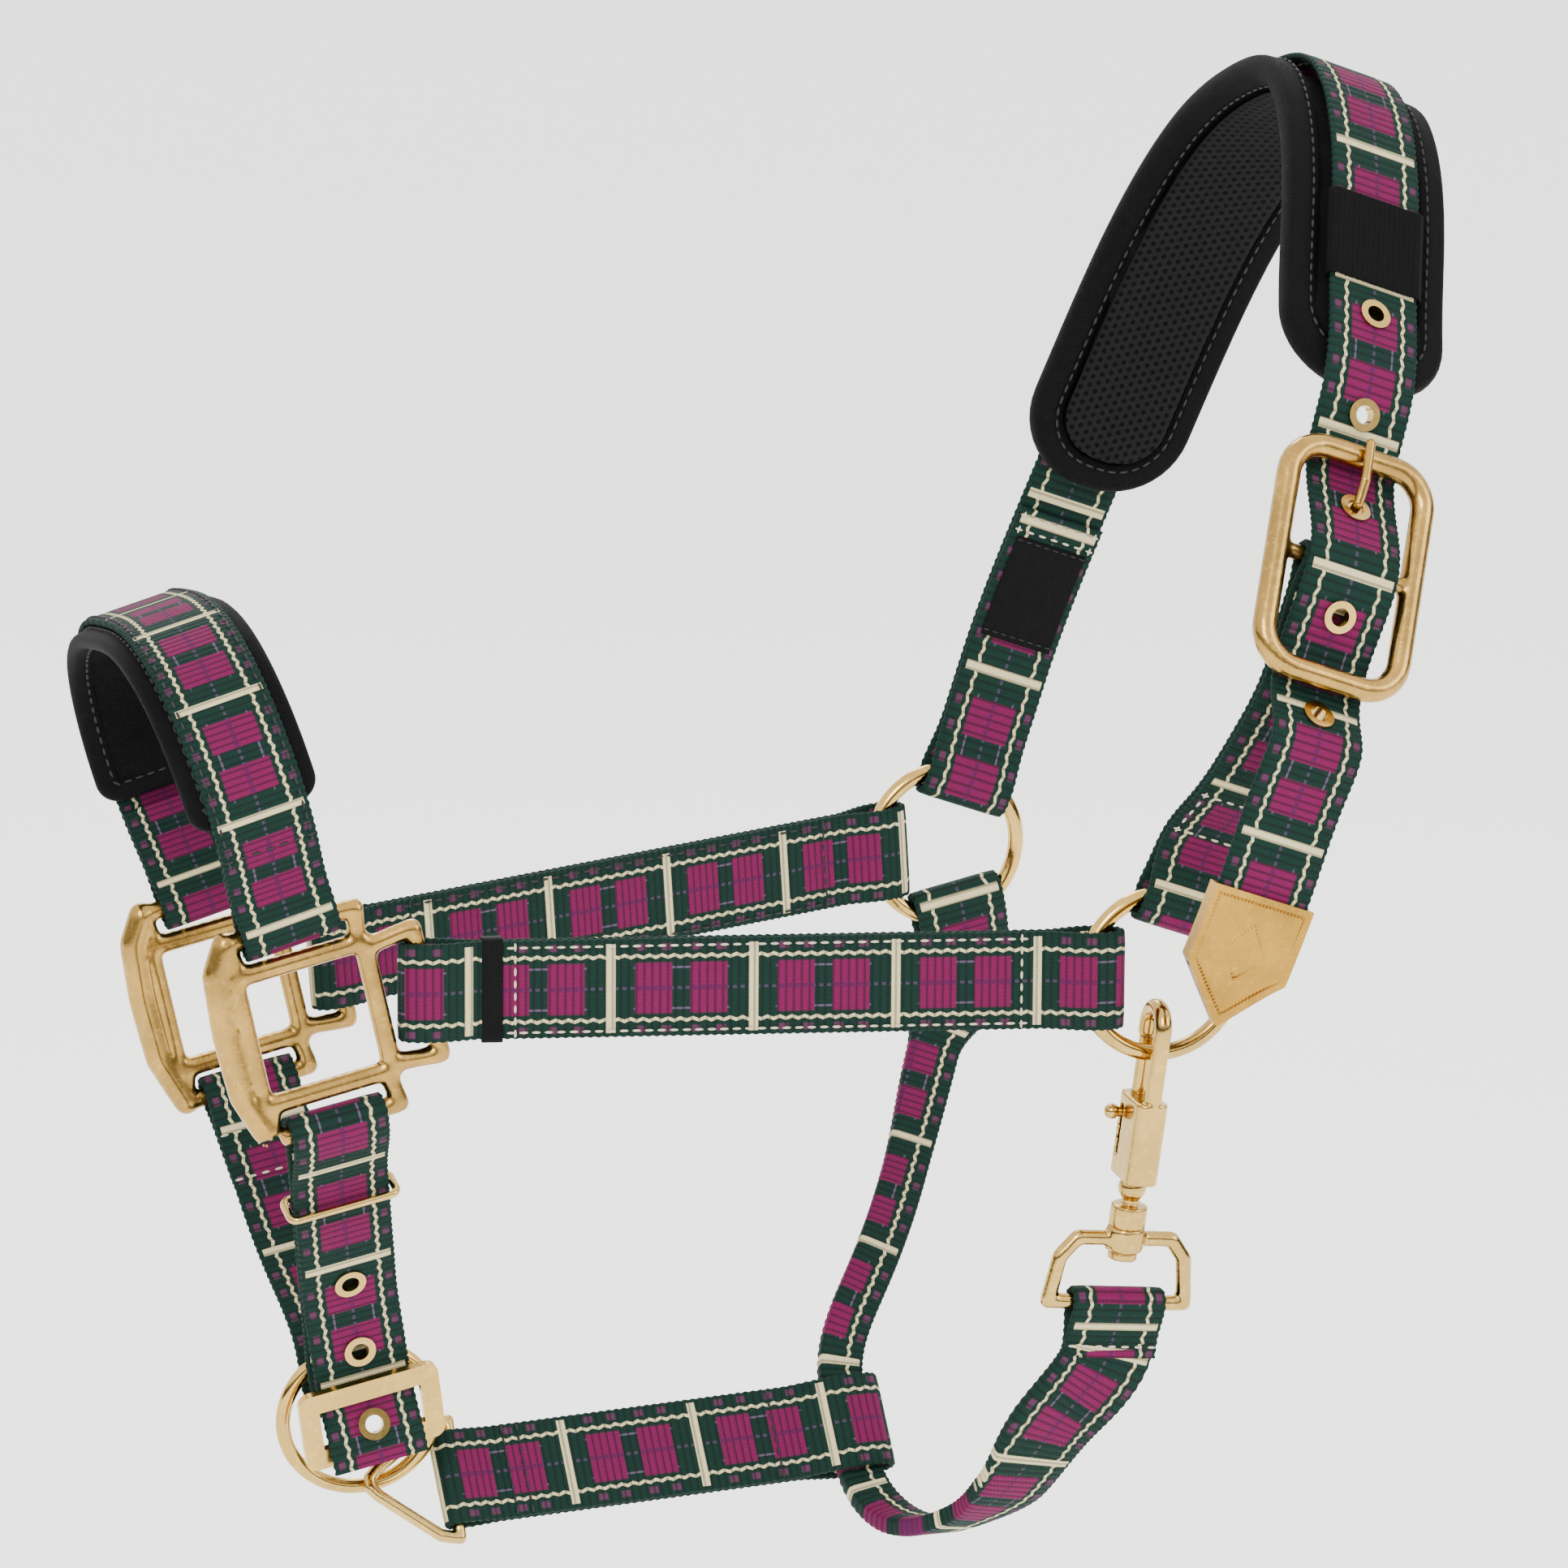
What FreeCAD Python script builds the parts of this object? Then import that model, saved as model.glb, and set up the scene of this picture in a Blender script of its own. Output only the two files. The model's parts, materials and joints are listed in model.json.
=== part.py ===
import FreeCAD
import Part
import math
import os
from FreeCAD import Vector as V

os.makedirs("parts", exist_ok=True)

# ---------------------------------------------------------------- driving sizes (mm)
web_w = 24.0              # width of the webbing
web_t = 1.8               # thickness of one layer
air = 0.4                 # air kept between webbing and the metal it holds
ring_od = 43.5            # side rings
ring_wire = 4.0
chin_od = 42.0            # lead ring under the chin
chin_wire = 3.7
head_width = 160.0        # distance between the two side rings
nose_width = 96.0         # distance between the two halter squares
cheek_run = 203.5         # side ring to halter square, measured forward
nose_drop = 11.6          # squares hang this much below the side rings
nose_lift = 6.5           # near square is this much higher, far square this much lower
crown_tilt = 20.0         # crown leans back from the vertical
crown_rise = 222.0        # side rings to the top of the crown, along the lean
nose_tilt = 16.0          # noseband leans forward at its top
nose_rise = 103.0         # squares to the top of the noseband
chin_tilt = 11.3          # chin straps lean back at the bottom
square_turn = 12.5        # squares turn in their own plane
jaw_roll = 32.0           # jaw strap rolls its lower edge outward
eyelet_pitch = 27.0
pad_w = 44.0
pad_t = 8.0
buckle_w = 42.0
buckle_h = 62.0
buckle_wire = 5.4

ring_r = (ring_od - ring_wire) / 2
chin_r = (chin_od - chin_wire) / 2
bar_r = 2.0               # straight bars that webbing folds round
half = head_width / 2
eye_r = ring_wire / 2 + air
edge_depth = math.sqrt((ring_r - ring_wire / 2) ** 2 - (web_w / 2) ** 2)
eye_run = ring_r - edge_depth + 0.3 - eye_r + air
X = V(1, 0, 0)
Y = V(0, 1, 0)
Z = V(0, 0, 1)


# ---------------------------------------------------------------- helpers
def frame(origin, ex, ez):
    """Placement whose local x and z follow ex and ez."""
    ex = V(ex).normalize()
    ey = ez.cross(ex).normalize()
    ez = ex.cross(ey)
    return FreeCAD.Placement(FreeCAD.Matrix(
        ex.x, ey.x, ez.x, origin.x, ex.y, ey.y, ez.y, origin.y,
        ex.z, ey.z, ez.z, origin.z, 0, 0, 0, 1))


def put(shape, place):
    moved = shape.copy()
    moved.Placement = place.multiply(moved.Placement)
    return moved


def leaning(axis_angle, axis):
    """Direction at an angle from +Z, leaning toward +X."""
    a = math.radians(axis_angle)
    return V(math.sin(a), 0, math.cos(a)) if axis == "up" else V(math.cos(a), 0, -math.sin(a))


def fused(shapes):
    return shapes[0].multiFuse(shapes[1:]).removeSplitter()


def poly(points):
    pts = [V(x, y, 0) for x, y in points]
    return Part.Face(Part.makePolygon(pts + pts[:1]))


def disc(x, y, r):
    return Part.Face(Part.Wire(Part.makeCircle(r, V(x, y, 0))))


def prism(face, width):
    solid = face.extrude(V(0, 0, width))
    solid.translate(V(0, 0, -width / 2))
    return solid


def pod(r, run, tip, flat):
    """Flat drop shape: rounded end on +x, tapering to half height flat at -tip."""
    far = math.hypot(tip, flat)
    turn = math.pi - math.atan2(flat, tip) - math.acos(min(1.0, r / far))
    tx, ty = r * math.cos(turn), r * math.sin(turn)
    corners = [(tx, ty), (-tip, flat), (-tip, -flat), (tx, -ty)] if flat else [(tx, ty), (-tip, 0), (tx, -ty)]
    faces = [disc(0, 0, r), poly(corners)]
    if run > 0:
        faces.append(disc(run, 0, r))
        faces.append(poly([(0, r), (run, r), (run, -r), (0, -r)]))
    return fused(faces)


def eye(r, run, tip):
    """Fold of webbing: the strap leaves toward -x, the held wire sits at 0."""
    return pod(r + web_t, run, tip, web_t).cut(pod(r, run, tip - 2.0, 0))


def curve2(points, start=None, end=None):
    c = Part.BSplineCurve()
    pts = [V(x, y, 0) for x, y in points]
    if start is None:
        c.interpolate(pts)
    else:
        c.interpolate(Points=pts, InitialTangent=V(*start, 0), FinalTangent=V(*end, 0))
    return c


def band_face(curve, s0, s1, lo, hi, n=26):
    """Face between two offsets of a curve, over an arc-length range; offsets are to its left."""
    first = curve.FirstParameter
    left = []
    right = []
    for k in range(n):
        t = curve.parameterAtDistance(s0 + (s1 - s0) * k / (n - 1), first)
        p = curve.value(t)
        d = curve.tangent(t)[0]
        m = V(-d.y, d.x, 0)
        left.append(p + m * hi)
        right.append(p + m * lo)
    a = Part.BSplineCurve()
    a.interpolate(left)
    b = Part.BSplineCurve()
    b.interpolate(right)
    edges = [a.toShape(), Part.makeLine(left[-1], right[-1]), b.toShape(), Part.makeLine(right[0], left[0])]
    return Part.Face(Part.Wire(Part.__sortEdges__(edges)))


def band(curve, s0, s1, lo, hi, width, n=26):
    return prism(band_face(curve, s0, s1, lo, hi, n), width)


def spot(curve, s):
    """Local frame on a curve: x along it, z across the webbing's face to the left."""
    t = curve.parameterAtDistance(s, curve.FirstParameter)
    d = curve.tangent(t)[0]
    return frame(curve.value(t), d, V(-d.y, d.x, 0))


def at_face(shape, curve, s):
    return put(shape, spot(curve, s))


def wire_run(points, r, closed=False):
    """Round wire through corner points, with ball corners."""
    pts = [V(*p) for p in points]
    pairs = list(zip(pts, pts[1:] + pts[:1])) if closed else list(zip(pts, pts[1:]))
    solids = [Part.makeCylinder(r, (b - a).Length, a, b - a) for a, b in pairs]
    solids += [Part.makeSphere(r, p) for p in pts]
    return fused(solids)


def round_loop(w, h, corner, r):
    """Closed round-wire loop with arc corners in the local xy plane; w and h are centreline sizes."""
    x, y, c = w / 2, h / 2, corner
    k = c * (1 - math.sqrt(0.5))
    edges = []
    for sx, sy in ((1, 1), (-1, 1), (-1, -1), (1, -1)):
        p, m, q = V(sx * x, sy * (y - c), 0), V(sx * (x - k), sy * (y - k), 0), V(sx * (x - c), sy * y, 0)
        edges.append(Part.Arc(p, m, q).toShape())
    edges.append(Part.makeLine(V(x - c, y, 0), V(c - x, y, 0)))
    edges.append(Part.makeLine(V(x - c, -y, 0), V(c - x, -y, 0)))
    edges.append(Part.makeLine(V(x, y - c, 0), V(x, c - y, 0)))
    edges.append(Part.makeLine(V(-x, y - c, 0), V(-x, c - y, 0)))
    path = Part.Wire(Part.__sortEdges__(edges))
    start = path.Edges[0].valueAt(path.Edges[0].FirstParameter)
    way = path.Edges[0].tangentAt(path.Edges[0].FirstParameter)
    section = Part.Wire(Part.makeCircle(r, start, way))
    return path.makePipeShell([section], True, True)


def eyelet(inner, outer, stack):
    """Brass eyelet through a stack of webbing, axis along z."""
    flange = 0.5
    sleeve = inner + 0.55
    z = stack / 2 + 0.2
    body = Part.makeCylinder(sleeve, 2 * z, V(0, 0, -z))
    top = Part.makeCylinder(outer, flange, V(0, 0, z))
    low = Part.makeCylinder(outer, flange, V(0, 0, -z - flange))
    hole = Part.makeCylinder(inner, 4 * z + 4, V(0, 0, -2 * z - 2))
    return fused([body, top, low]).cut(hole)


def eyelet_hole(inner, stack):
    return Part.makeCylinder(inner + 0.65, stack + 6, V(0, 0, -stack / 2 - 3))


def export(name, shape):
    moved = shape.copy()
    moved.translate(-seat)
    moved.exportStep("parts/%s.step" % name)
    print(name, len(moved.Solids), moved.isValid(), round(moved.Volume, 1))


# ---------------------------------------------------------------- crown: path and frame
up = leaning(crown_tilt, "up")
crown = frame(V(0, 0, 0), Y, leaning(crown_tilt, "across"))
rise = crown_rise / 222.0
span = half / 80.0
bar_at = V(-103 * span, 108 * rise, 0)
down_angle = math.atan2(-0.909, -0.417)
e_up = V(-math.cos(down_angle), -math.sin(down_angle), 0)
e_out = V(-e_up.y, e_up.x, 0)


def weave(s, n):
    """Point in the crown plane: s up the buckle, n outward from its middle plane."""
    p = bar_at + e_up * s + e_out * n
    return (p.x, p.y)


bar_lift = 1.75 + 0.3 + web_t + 0.5 + web_t / 2
reach = buckle_h / 2 - buckle_wire / 2
dip = -(buckle_wire / 2 + 1.0 + 0.35 + web_t / 2)
fold_end = ring_r + 9.0
crown_pts = [(half + 0.9, fold_end)]
crown_pts += [(x * span, y * rise) for x, y in (
    (82.3, 54), (78.5, 92), (71, 135), (60, 175), (40, 204), (18, 217), (-5, 221.5), (-30, 210.5),
    (-50, 191), (-66, 171))]
crown_pts += [weave(45, -2.2), weave(reach, dip), weave(14, 0.2), weave(0, bar_lift)]
crown_pts += [weave(-14, 0.2), weave(-reach, dip), weave(-36, -3.2), weave(-44, 0.3)]
crown_pts += [(-121.8 * span, 56 * rise), (-121.6 * span, 30 * rise)]
crown_pts += [(-119.5 * span, 8 * rise), (-119 * span, -4)]
crown_path = curve2(crown_pts, (0, 1), (0, -1))


def arc_at(curve, point):
    t = curve.parameter(V(point[0], point[1], 0))
    return curve.length(curve.FirstParameter, t)


bar_s = arc_at(crown_path, weave(0, bar_lift))
split_s = arc_at(crown_path, weave(-33.2, -4.0))
seat_s = arc_at(crown_path, (-5 * span, 221.5 * rise))
total_s = crown_path.length()
pad_gap = web_t / 2 + 0.85
pad_s0 = arc_at(crown_path, (76.6 * span, 101 * rise))
pad_s1 = arc_at(crown_path, (-82 * span, 151 * rise))
lining_t = 0.9
seat_local = spot(crown_path, seat_s).multVec(V(0, 0, pad_gap + pad_t + lining_t + 0.1))
seat = crown.multVec(seat_local)

# crown strap: far fold, sewn return layer, single run over the poll, weave through the buckle
far_fold = put(prism(eye(eye_r, eye_run, 9.0), web_w), frame(V(half, ring_r, 0), V(0, -1, 0), Z))
return_s = 62.0
return_layer = band(crown_path, 0, return_s, -web_t / 2, web_t * 1.5, web_w, 12)
main_run = band(crown_path, return_s, split_s - 0.15, -web_t / 2, web_t / 2, web_w, 70)
crown_eyelet_s = [bar_s - 15.6 - k * eyelet_pitch for k in (2, 1, 0)] + [bar_s + 13.5]
tail_eyelet_s = [bar_s + 13.5 + eyelet_pitch]
strap = fused([far_fold, return_layer, main_run])
for s in crown_eyelet_s:
    strap = strap.cut(at_face(eyelet_hole(2.25, web_t), crown_path, s))
export("crown_strap", put(strap, crown))
rivets = [at_face(eyelet(2.25, 4.0, web_t), crown_path, s) for s in crown_eyelet_s]
export("crown_eyelets", put(Part.Compound(rivets), crown))

# free end of the crown strap with its brass tip
tip_s = total_s - 33.0
tail = band(crown_path, split_s + 0.15, total_s - 12, -web_t / 2, web_t / 2, web_w, 30)
for s in tail_eyelet_s:
    tail = tail.cut(at_face(eyelet_hole(2.25, web_t), crown_path, s))
tip_w = web_w + 2.4
shell = band(crown_path, tip_s, total_s, -web_t / 2 - 1.3, web_t / 2 + 1.3, tip_w, 12)
slot = band(crown_path, tip_s - 1, total_s - 11.9, -web_t / 2 - 0.02, web_t / 2 + 0.02, web_w + 0.1, 12)
point = Part.Face(Part.makePolygon([V(34, -tip_w, 0), V(19, -tip_w / 2, 0), V(33, 0, 0), V(19, tip_w / 2, 0),
                                    V(34, tip_w, 0), V(34, -tip_w, 0)]))
point_cut = prism(point, 16)
tip_frame = spot(crown_path, total_s - 16)
tip_frame.Base = spot(crown_path, tip_s).Base
shell = shell.cut(slot).cut(put(point_cut, tip_frame))
tail = tail.cut(put(point_cut, tip_frame))
export("crown_tail", put(tail, crown))
export("crown_tail_eyelet", put(at_face(eyelet(2.25, 4.0, web_t), crown_path, tail_eyelet_s[0]), crown))
export("strap_tip", put(shell, crown))


# poll pad with its mesh lining
def rounded_ends(solid, s0, s1, width):
    r = width / 2
    for s, sign in ((s0, 1), (s1, -1)):
        keep = Part.makeCylinder(r, 60, V(sign * r, 0, -30))
        away = Part.makeBox(r + 12, 80, 60, V(-12 if sign > 0 else -r, -40, -30))
        solid = solid.cut(at_face(away.cut(keep), crown_path, s))
    return solid


pad = band(crown_path, pad_s0, pad_s1, pad_gap, pad_gap + pad_t, pad_w, 50)
export("poll_pad", put(rounded_ends(pad, pad_s0, pad_s1, pad_w), crown))
lining_lo = pad_gap + pad_t + 0.1
lining = band(crown_path, pad_s0 + 6, pad_s1 - 6, lining_lo, lining_lo + lining_t, pad_w - 12, 50)
export("pad_lining", put(rounded_ends(lining, pad_s0 + 6, pad_s1 - 6, pad_w - 12), crown))

# elastic keeper over the strap, sewn label inside the far fold
keeper_s = arc_at(crown_path, (-57 * span, 183 * rise))
keeper_half = 12.5
loop_out = band(crown_path, keeper_s - keeper_half, keeper_s + keeper_half,
                -web_t / 2 - 1.3, web_t / 2 + 0.2, web_w + 3.0, 10)
loop_in = band(crown_path, keeper_s - keeper_half - 1, keeper_s + keeper_half + 1,
               -web_t / 2 - 0.3, web_t / 2 + 0.4, web_w + 0.8, 10)
export("pad_keeper", put(loop_out.cut(loop_in), crown))
export("sewn_label", put(band(crown_path, 26, 55, web_t * 1.5 + 0.02, web_t * 1.5 + 0.5, 20, 8), crown))

# buckle: frame with centre bar, tongue, and the billet that holds it to the near ring
buckle = frame(bar_at, e_up, V(0, 0, 1))
loop = round_loop(buckle_h - buckle_wire, buckle_w - buckle_wire, 9.0, buckle_wire / 2)
loop = put(loop, FreeCAD.Placement(V(), FreeCAD.Rotation(X, 90)))
centre_bar = Part.makeCylinder(1.75, buckle_w - buckle_wire, V(0, 0, -(buckle_w - buckle_wire) / 2))
export("buckle_frame", put(fused([loop, centre_bar]), crown.multiply(buckle)))
collar = Part.makeCylinder(3.1, 3.2, V(0, 0, -1.6))
prong = wire_run([(2.6, 0.8, 0), (9.8, -2.6, 0), (12.8, -3.3, 0), (15.9, 2.4, 0), (21.5, 4.3, 0),
                  (reach + 2.6, 4.15, 0)], 1.2)
bore = Part.makeCylinder(1.8, 8, V(0, 0, -4))
tongue = fused([collar, prong]).cut(bore)
export("buckle_tongue", put(tongue, crown.multiply(buckle)))

e_lead = (e_up * 0.94 + e_out * 0.34).normalize()
bar_eye = put(prism(eye(1.75 + 0.3, 0, 7.0), web_w), frame(bar_at, e_lead, Z))
near_fold = put(prism(eye(eye_r, eye_run, 9.0), web_w), frame(V(-half, ring_r, 0), V(0, -1, 0), Z))
lead = bar_at - e_lead * 7.0
billet_pts = [(lead.x, lead.y), weave(-14, -5.2), weave(-reach, dip - 2.7 - web_t),
              (-101 * span, 62 * rise), (-90 * span, 44 * rise), (-half, fold_end)]
billet_path = curve2(billet_pts, (-e_lead.x, -e_lead.y), (0, -1))
billet_run = band(billet_path, 0, billet_path.length(), -web_t, web_t, web_w, 30)
tongue_slot = Part.makeBox(14, 12, 4.4, V(-4.5, -6, -2.2))
billet = fused([bar_eye, billet_run, near_fold]).cut(put(tongue_slot, buckle))
export("billet", put(billet, crown))

# ---------------------------------------------------------------- side rings
for name, side in (("near_ring", -1), ("far_ring", 1)):
    export(name, Part.makeTorus(ring_r, ring_wire / 2, V(0, side * half, 0), Y))

# ---------------------------------------------------------------- halter squares
open_w = 28.0
bar_reach = 25.0
cheek_reach = 28.8
turn = math.radians(square_turn)
sq_x = V(math.cos(turn), 0, math.sin(turn))
squares = {}
for name, side in (("near", -1), ("far", 1)):
    centre = V(-cheek_run + (2.5 if side > 0 else 0), side * nose_width / 2, -nose_drop - side * nose_lift)
    squares[name] = frame(centre, sq_x, Y)


def square_solid():
    """Local x forward to the cheek, local z along +Y, so local y points down."""
    o = open_w / 2 + 2.3
    body = [wire_run([(o, o, 0), (-o, o, 0), (-o, -o, 0), (o, -o, 0)], 2.2, True)]
    h = web_w / 2 + 4.2
    for turns, b in ((0, cheek_reach), (90, bar_reach), (270, bar_reach)):
        arm = wire_run([(o, h - 1.5, 0), (b, h, 0), (b, -h, 0), (o, 1.5 - h, 0)], bar_r)
        arm.rotate(V(0, 0, 0), Z, turns)
        body.append(arm)
    spine = [(-h - 0.3, -bar_reach, 0), (-o - 4.2, -o - 2, 0), (-o - 5.2, -4, 0), (-o - 4.6, o - 4, 0),
             (-h - 0.3, bar_reach, 0)]
    body.append(wire_run(spine, 2.9))
    return fused(body)


square = square_solid()
for name in ("near", "far"):
    export(name + "_square", put(square, squares[name]))


def bar_point(name, x, y):
    """Middle of a slot bar; y is up."""
    return squares[name].multVec(V(x, -y, 0))


# ---------------------------------------------------------------- cheek straps
skew = 3.0                # the squares' cheek bars lean across the fold by this much
for name, side in (("near", -1), ("far", 1)):
    bar_c = bar_point(name, cheek_reach, 0)
    radial = V(bar_c.x, 0, bar_c.z).normalize()
    wire_c = V(0, side * half, 0) + radial * ring_r
    run = (bar_c - wire_c).Length
    local = frame(wire_c, wire_c - bar_c, Z)
    ring_eye = prism(eye(eye_r + 0.7, eye_run, 9.0), web_w)
    bar_eye = put(prism(eye(bar_r + 0.35, 2 * skew, 9.0), web_w),
                  FreeCAD.Placement(V(-run + skew, 0, 0), FreeCAD.Rotation(Z, 180)))
    a = -run + skew + 9.0
    flat = prism(poly([(a, -web_t), (-9.0, -web_t), (-9.0, web_t), (a, web_t)]), web_w)
    export(name + "_cheek", put(fused([ring_eye, flat, bar_eye]), local))
    if name == "near":
        h = web_t + 0.55
        tape = prism(poly([(a + 1, -h), (a + 6, -h), (a + 6, h), (a + 1, h)]), web_w + 1.1)
        h = web_t + 0.05
        core = prism(poly([(a, -h), (a + 7, -h), (a + 7, h), (a, h)]), web_w + 0.1)
        export("cheek_tape", put(tape.cut(core), local))

# ---------------------------------------------------------------- noseband
nose_mid = V(-cheek_run, 0, -nose_drop)
nose_up = leaning(-nose_tilt, "up")
nose_across = leaning(-nose_tilt, "across")
bars = [bar_point(n, 0, bar_reach) for n in ("near", "far")]
shift = sum((p - nose_mid).dot(nose_across) for p in bars) / 2
nose = frame(nose_mid + nose_across * shift, Y, nose_across)
ends = [V((p - nose_mid).dot(Y), (p - nose_mid).dot(nose_up), 0) for p in bars]
mid = (ends[0] + ends[1]) * 0.5
along = (ends[1] - ends[0]).normalize()
normal = V(-along.y, along.x, 0)
wide = (ends[1] - ends[0]).Length / 2
tall = nose_rise - bar_reach


def arch(x, y):
    p = mid + along * (x * wide) + normal * (y * tall)
    return (p.x, p.y)


fold_tip = 10.0
nose_t0 = (normal * 0.95 - along * 0.30).normalize()
nose_t1 = (normal * -0.95 - along * 0.30).normalize()


def beside(bar, way, reach_out):
    """Start of the outer layer where a fold round a bar closes."""
    p = bar + way * reach_out + V(-way.y, way.x, 0) * (web_t / 2)
    return (p.x, p.y)


right = [(1.20, 0.27), (1.255, 0.45), (1.19, 0.66), (0.95, 0.86), (0.55, 0.975)]
nose_pts = [beside(ends[0], nose_t0, fold_tip)] + [arch(-x, y) for x, y in right] + [arch(0, 1.0)]
nose_pts += [arch(x, y) for x, y in reversed(right)] + [beside(ends[1], nose_t1, -fold_tip)]
nose_path = curve2(nose_pts, (nose_t0.x, nose_t0.y), (nose_t1.x, nose_t1.y))
nose_len = nose_path.length()
hem = 16.0
pad_back = 4.0            # padding stops this much short of the sewn folds
lean_run = 0.9
nose_fold = prism(eye(bar_r + 0.35, 2 * lean_run, fold_tip - lean_run), web_w)
nose_web = fused([put(nose_fold, frame(ends[0] + nose_t0 * lean_run, nose_t0 * -1, Z)),
                  put(nose_fold, frame(ends[1] - nose_t1 * lean_run, nose_t1, Z)),
                  band(nose_path, 0, nose_len, -web_t / 2, web_t / 2, web_w, 70)])
export("noseband_web", put(nose_web, nose))
nose_pad = band(nose_path, hem + pad_back, nose_len - hem - pad_back,
                -web_t / 2 - 5.4, -web_t / 2 - 0.4, web_w + 8, 60)
export("noseband_pad", put(nose_pad, nose))

# ---------------------------------------------------------------- chin strap, keeper, slide, lead ring
chin_up = leaning(-chin_tilt, "up")
chin_across = leaning(-chin_tilt, "across")
bars = [bar_point(n, 0, -bar_reach) for n in ("near", "far")]
shift = sum((p - nose_mid).dot(chin_across) for p in bars) / 2
chin = frame(nose_mid + chin_across * shift, Y, chin_across)
near_bar, far_bar = [V((p - nose_mid).dot(Y), (p - nose_mid).dot(chin_up), 0) for p in bars]
ring_drop = 108.0
chin_ring_c = chin.multVec(V(0, -ring_drop, 0))
ring_lean = math.radians(10.0)
ring_n = V(-0.07, -math.cos(ring_lean), -math.sin(ring_lean)).normalize()
ring_up = (Z - ring_n * Z.dot(ring_n)).normalize()
export("lead_ring", Part.makeTorus(chin_r, chin_wire / 2, chin_ring_c, ring_n))

wire_top = V(-chin_r * math.sin(ring_lean), -ring_drop + chin_r * math.cos(ring_lean), 0)
side_gap = chin_wire / 2 + web_t / 2 + 1.9
fold_r = bar_r + 0.65 + web_t / 2
ring_down = V(math.sin(ring_lean), -math.cos(ring_lean), 0)
ring_side = V(math.cos(ring_lean), math.sin(ring_lean), 0)


def by_ring(off, depth):
    """Point beside the lead ring's top wire, in the ring's own lean."""
    p = wire_top + ring_side * off + ring_down * depth
    return (p.x, p.y)


low_near = V(*by_ring(-side_gap, -1.0), 0)
lay = (low_near - near_bar).normalize()
lay_out = V(lay.y, -lay.x, 0)
inner0 = near_bar - lay_out * fold_r
run_len = (low_near - inner0).Length
tail_gap = web_t + 0.6


def chin_pt(s, m):
    p = inner0 + (low_near - inner0).normalize() * s + lay_out * m
    return (p.x, p.y)


plate_t = 2.0
far_way = (V(wire_top.x + side_gap + 17, wire_top.y + 19, 0) - far_bar).normalize()
far_start = far_bar + far_way * fold_tip
over = []
for k in (1, 2, 3):
    a = math.radians(45 * k)
    p = near_bar - lay_out * (fold_r * math.cos(a)) - lay * (fold_r * math.sin(a))
    over.append((p.x, p.y))
chin_pts = [(far_start.x, far_start.y), (wire_top.x + side_gap + 17, wire_top.y + 19)]
chin_pts += [by_ring(side_gap, d) for d in (-1.0, 5.0, 10.5)]
chin_pts += [by_ring(side_gap * math.cos(math.radians(a)), 10.5 + side_gap * math.sin(math.radians(a)))
             for a in (45, 90, 135)]
chin_pts += [by_ring(-side_gap, d) for d in (10.5, 5.0)]
chin_pts += [chin_pt(run_len * k / 10, 0) for k in range(10, -1, -1)]
chin_pts += over + [chin_pt(0, 2 * fold_r), chin_pt(8, 2 * fold_r - 1.2), chin_pt(18, tail_gap + 0.4)]
chin_pts += [chin_pt(18 + 40 * k / 5, tail_gap) for k in range(1, 6)]
slide_top = V(-17.4, 12.0 - ring_drop, 0)
slide_low = V(-12.7, -3.2 - ring_drop, 0)
slide_way = (slide_low - slide_top).normalize()
slide_h = (slide_low - slide_top).Length
chin_pts += [(slide_top.x + 1.2, slide_top.y + 9), (slide_top.x + 3.3, slide_top.y),
             (slide_top.x + 3.0, slide_top.y - 7), (slide_low.x - 3.0, slide_low.y),
             (slide_low.x - 3.1, slide_low.y - 4.5)]
chin_path = curve2(chin_pts, (far_way.x, far_way.y), (-0.05, -1))
chin_len = chin_path.length()
far_eye = put(nose_fold, frame(far_bar + far_way * lean_run, far_way * -1, Z))
chin_run = fused([far_eye, band(chin_path, 0, chin_len, -web_t / 2, web_t / 2, web_w, 170)])
chin_eyelet_s = [chin_len - 10.0 - k * 20.5 for k in (2, 1, 0)]
for s in chin_eyelet_s:
    hole = Part.makeCylinder(2.9, 3.4, V(0, 0, -1.7))
    chin_run = chin_run.cut(at_face(hole, chin_path, s))
export("chin_strap", put(chin_run, chin))
studs = []
for s in chin_eyelet_s:
    stud = fused([Part.makeCylinder(4.0, 0.5, V(0, 0, -web_t / 2 - 0.7)),
                  Part.makeCylinder(2.8, web_t + 0.25, V(0, 0, -web_t / 2 - 0.25))])
    studs.append(at_face(stud.cut(Part.makeCylinder(2.25, 9, V(0, 0, -5))), chin_path, s))
export("chin_eyelets", put(Part.Compound(studs), chin))

# wire keeper round both layers; local x down the strap, local y inward
local = frame(V(*chin_pt(0, 0), 0), low_near - inner0, Z)
keep_h = 2 * web_t + 0.35 + 1.4
keeper = round_loop(web_w + 3.0, keep_h + 2.4, 1.9, 1.0)
keeper_place = FreeCAD.Placement(V(27.0, -(tail_gap / 2) * 1.0, 0), FreeCAD.Rotation(Y, 90))
export("wire_keeper", put(keeper, chin.multiply(local).multiply(keeper_place)))

# flat slide: top bar outside both layers, lower bar between them
frame_w = web_w + 12.0
plate = Part.makeBox(slide_h + 6.0, plate_t, frame_w, V(-3.0, -plate_t / 2, -frame_w / 2))
plate = plate.cut(Part.makeBox(slide_h - 4.8, 9, web_w + 2.2, V(2.4, -4, -web_w / 2 - 1.1)))
corners = [e for e in plate.Edges if e.BoundBox.XLength < 1e-6 and e.BoundBox.ZLength < 1e-6
           and abs(abs(e.BoundBox.ZMin) - frame_w / 2) < 1e-6]
plate = plate.makeFillet(3.0, corners)
export("chin_slide", put(plate, chin.multiply(frame(slide_top, slide_way, Z))))

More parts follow.
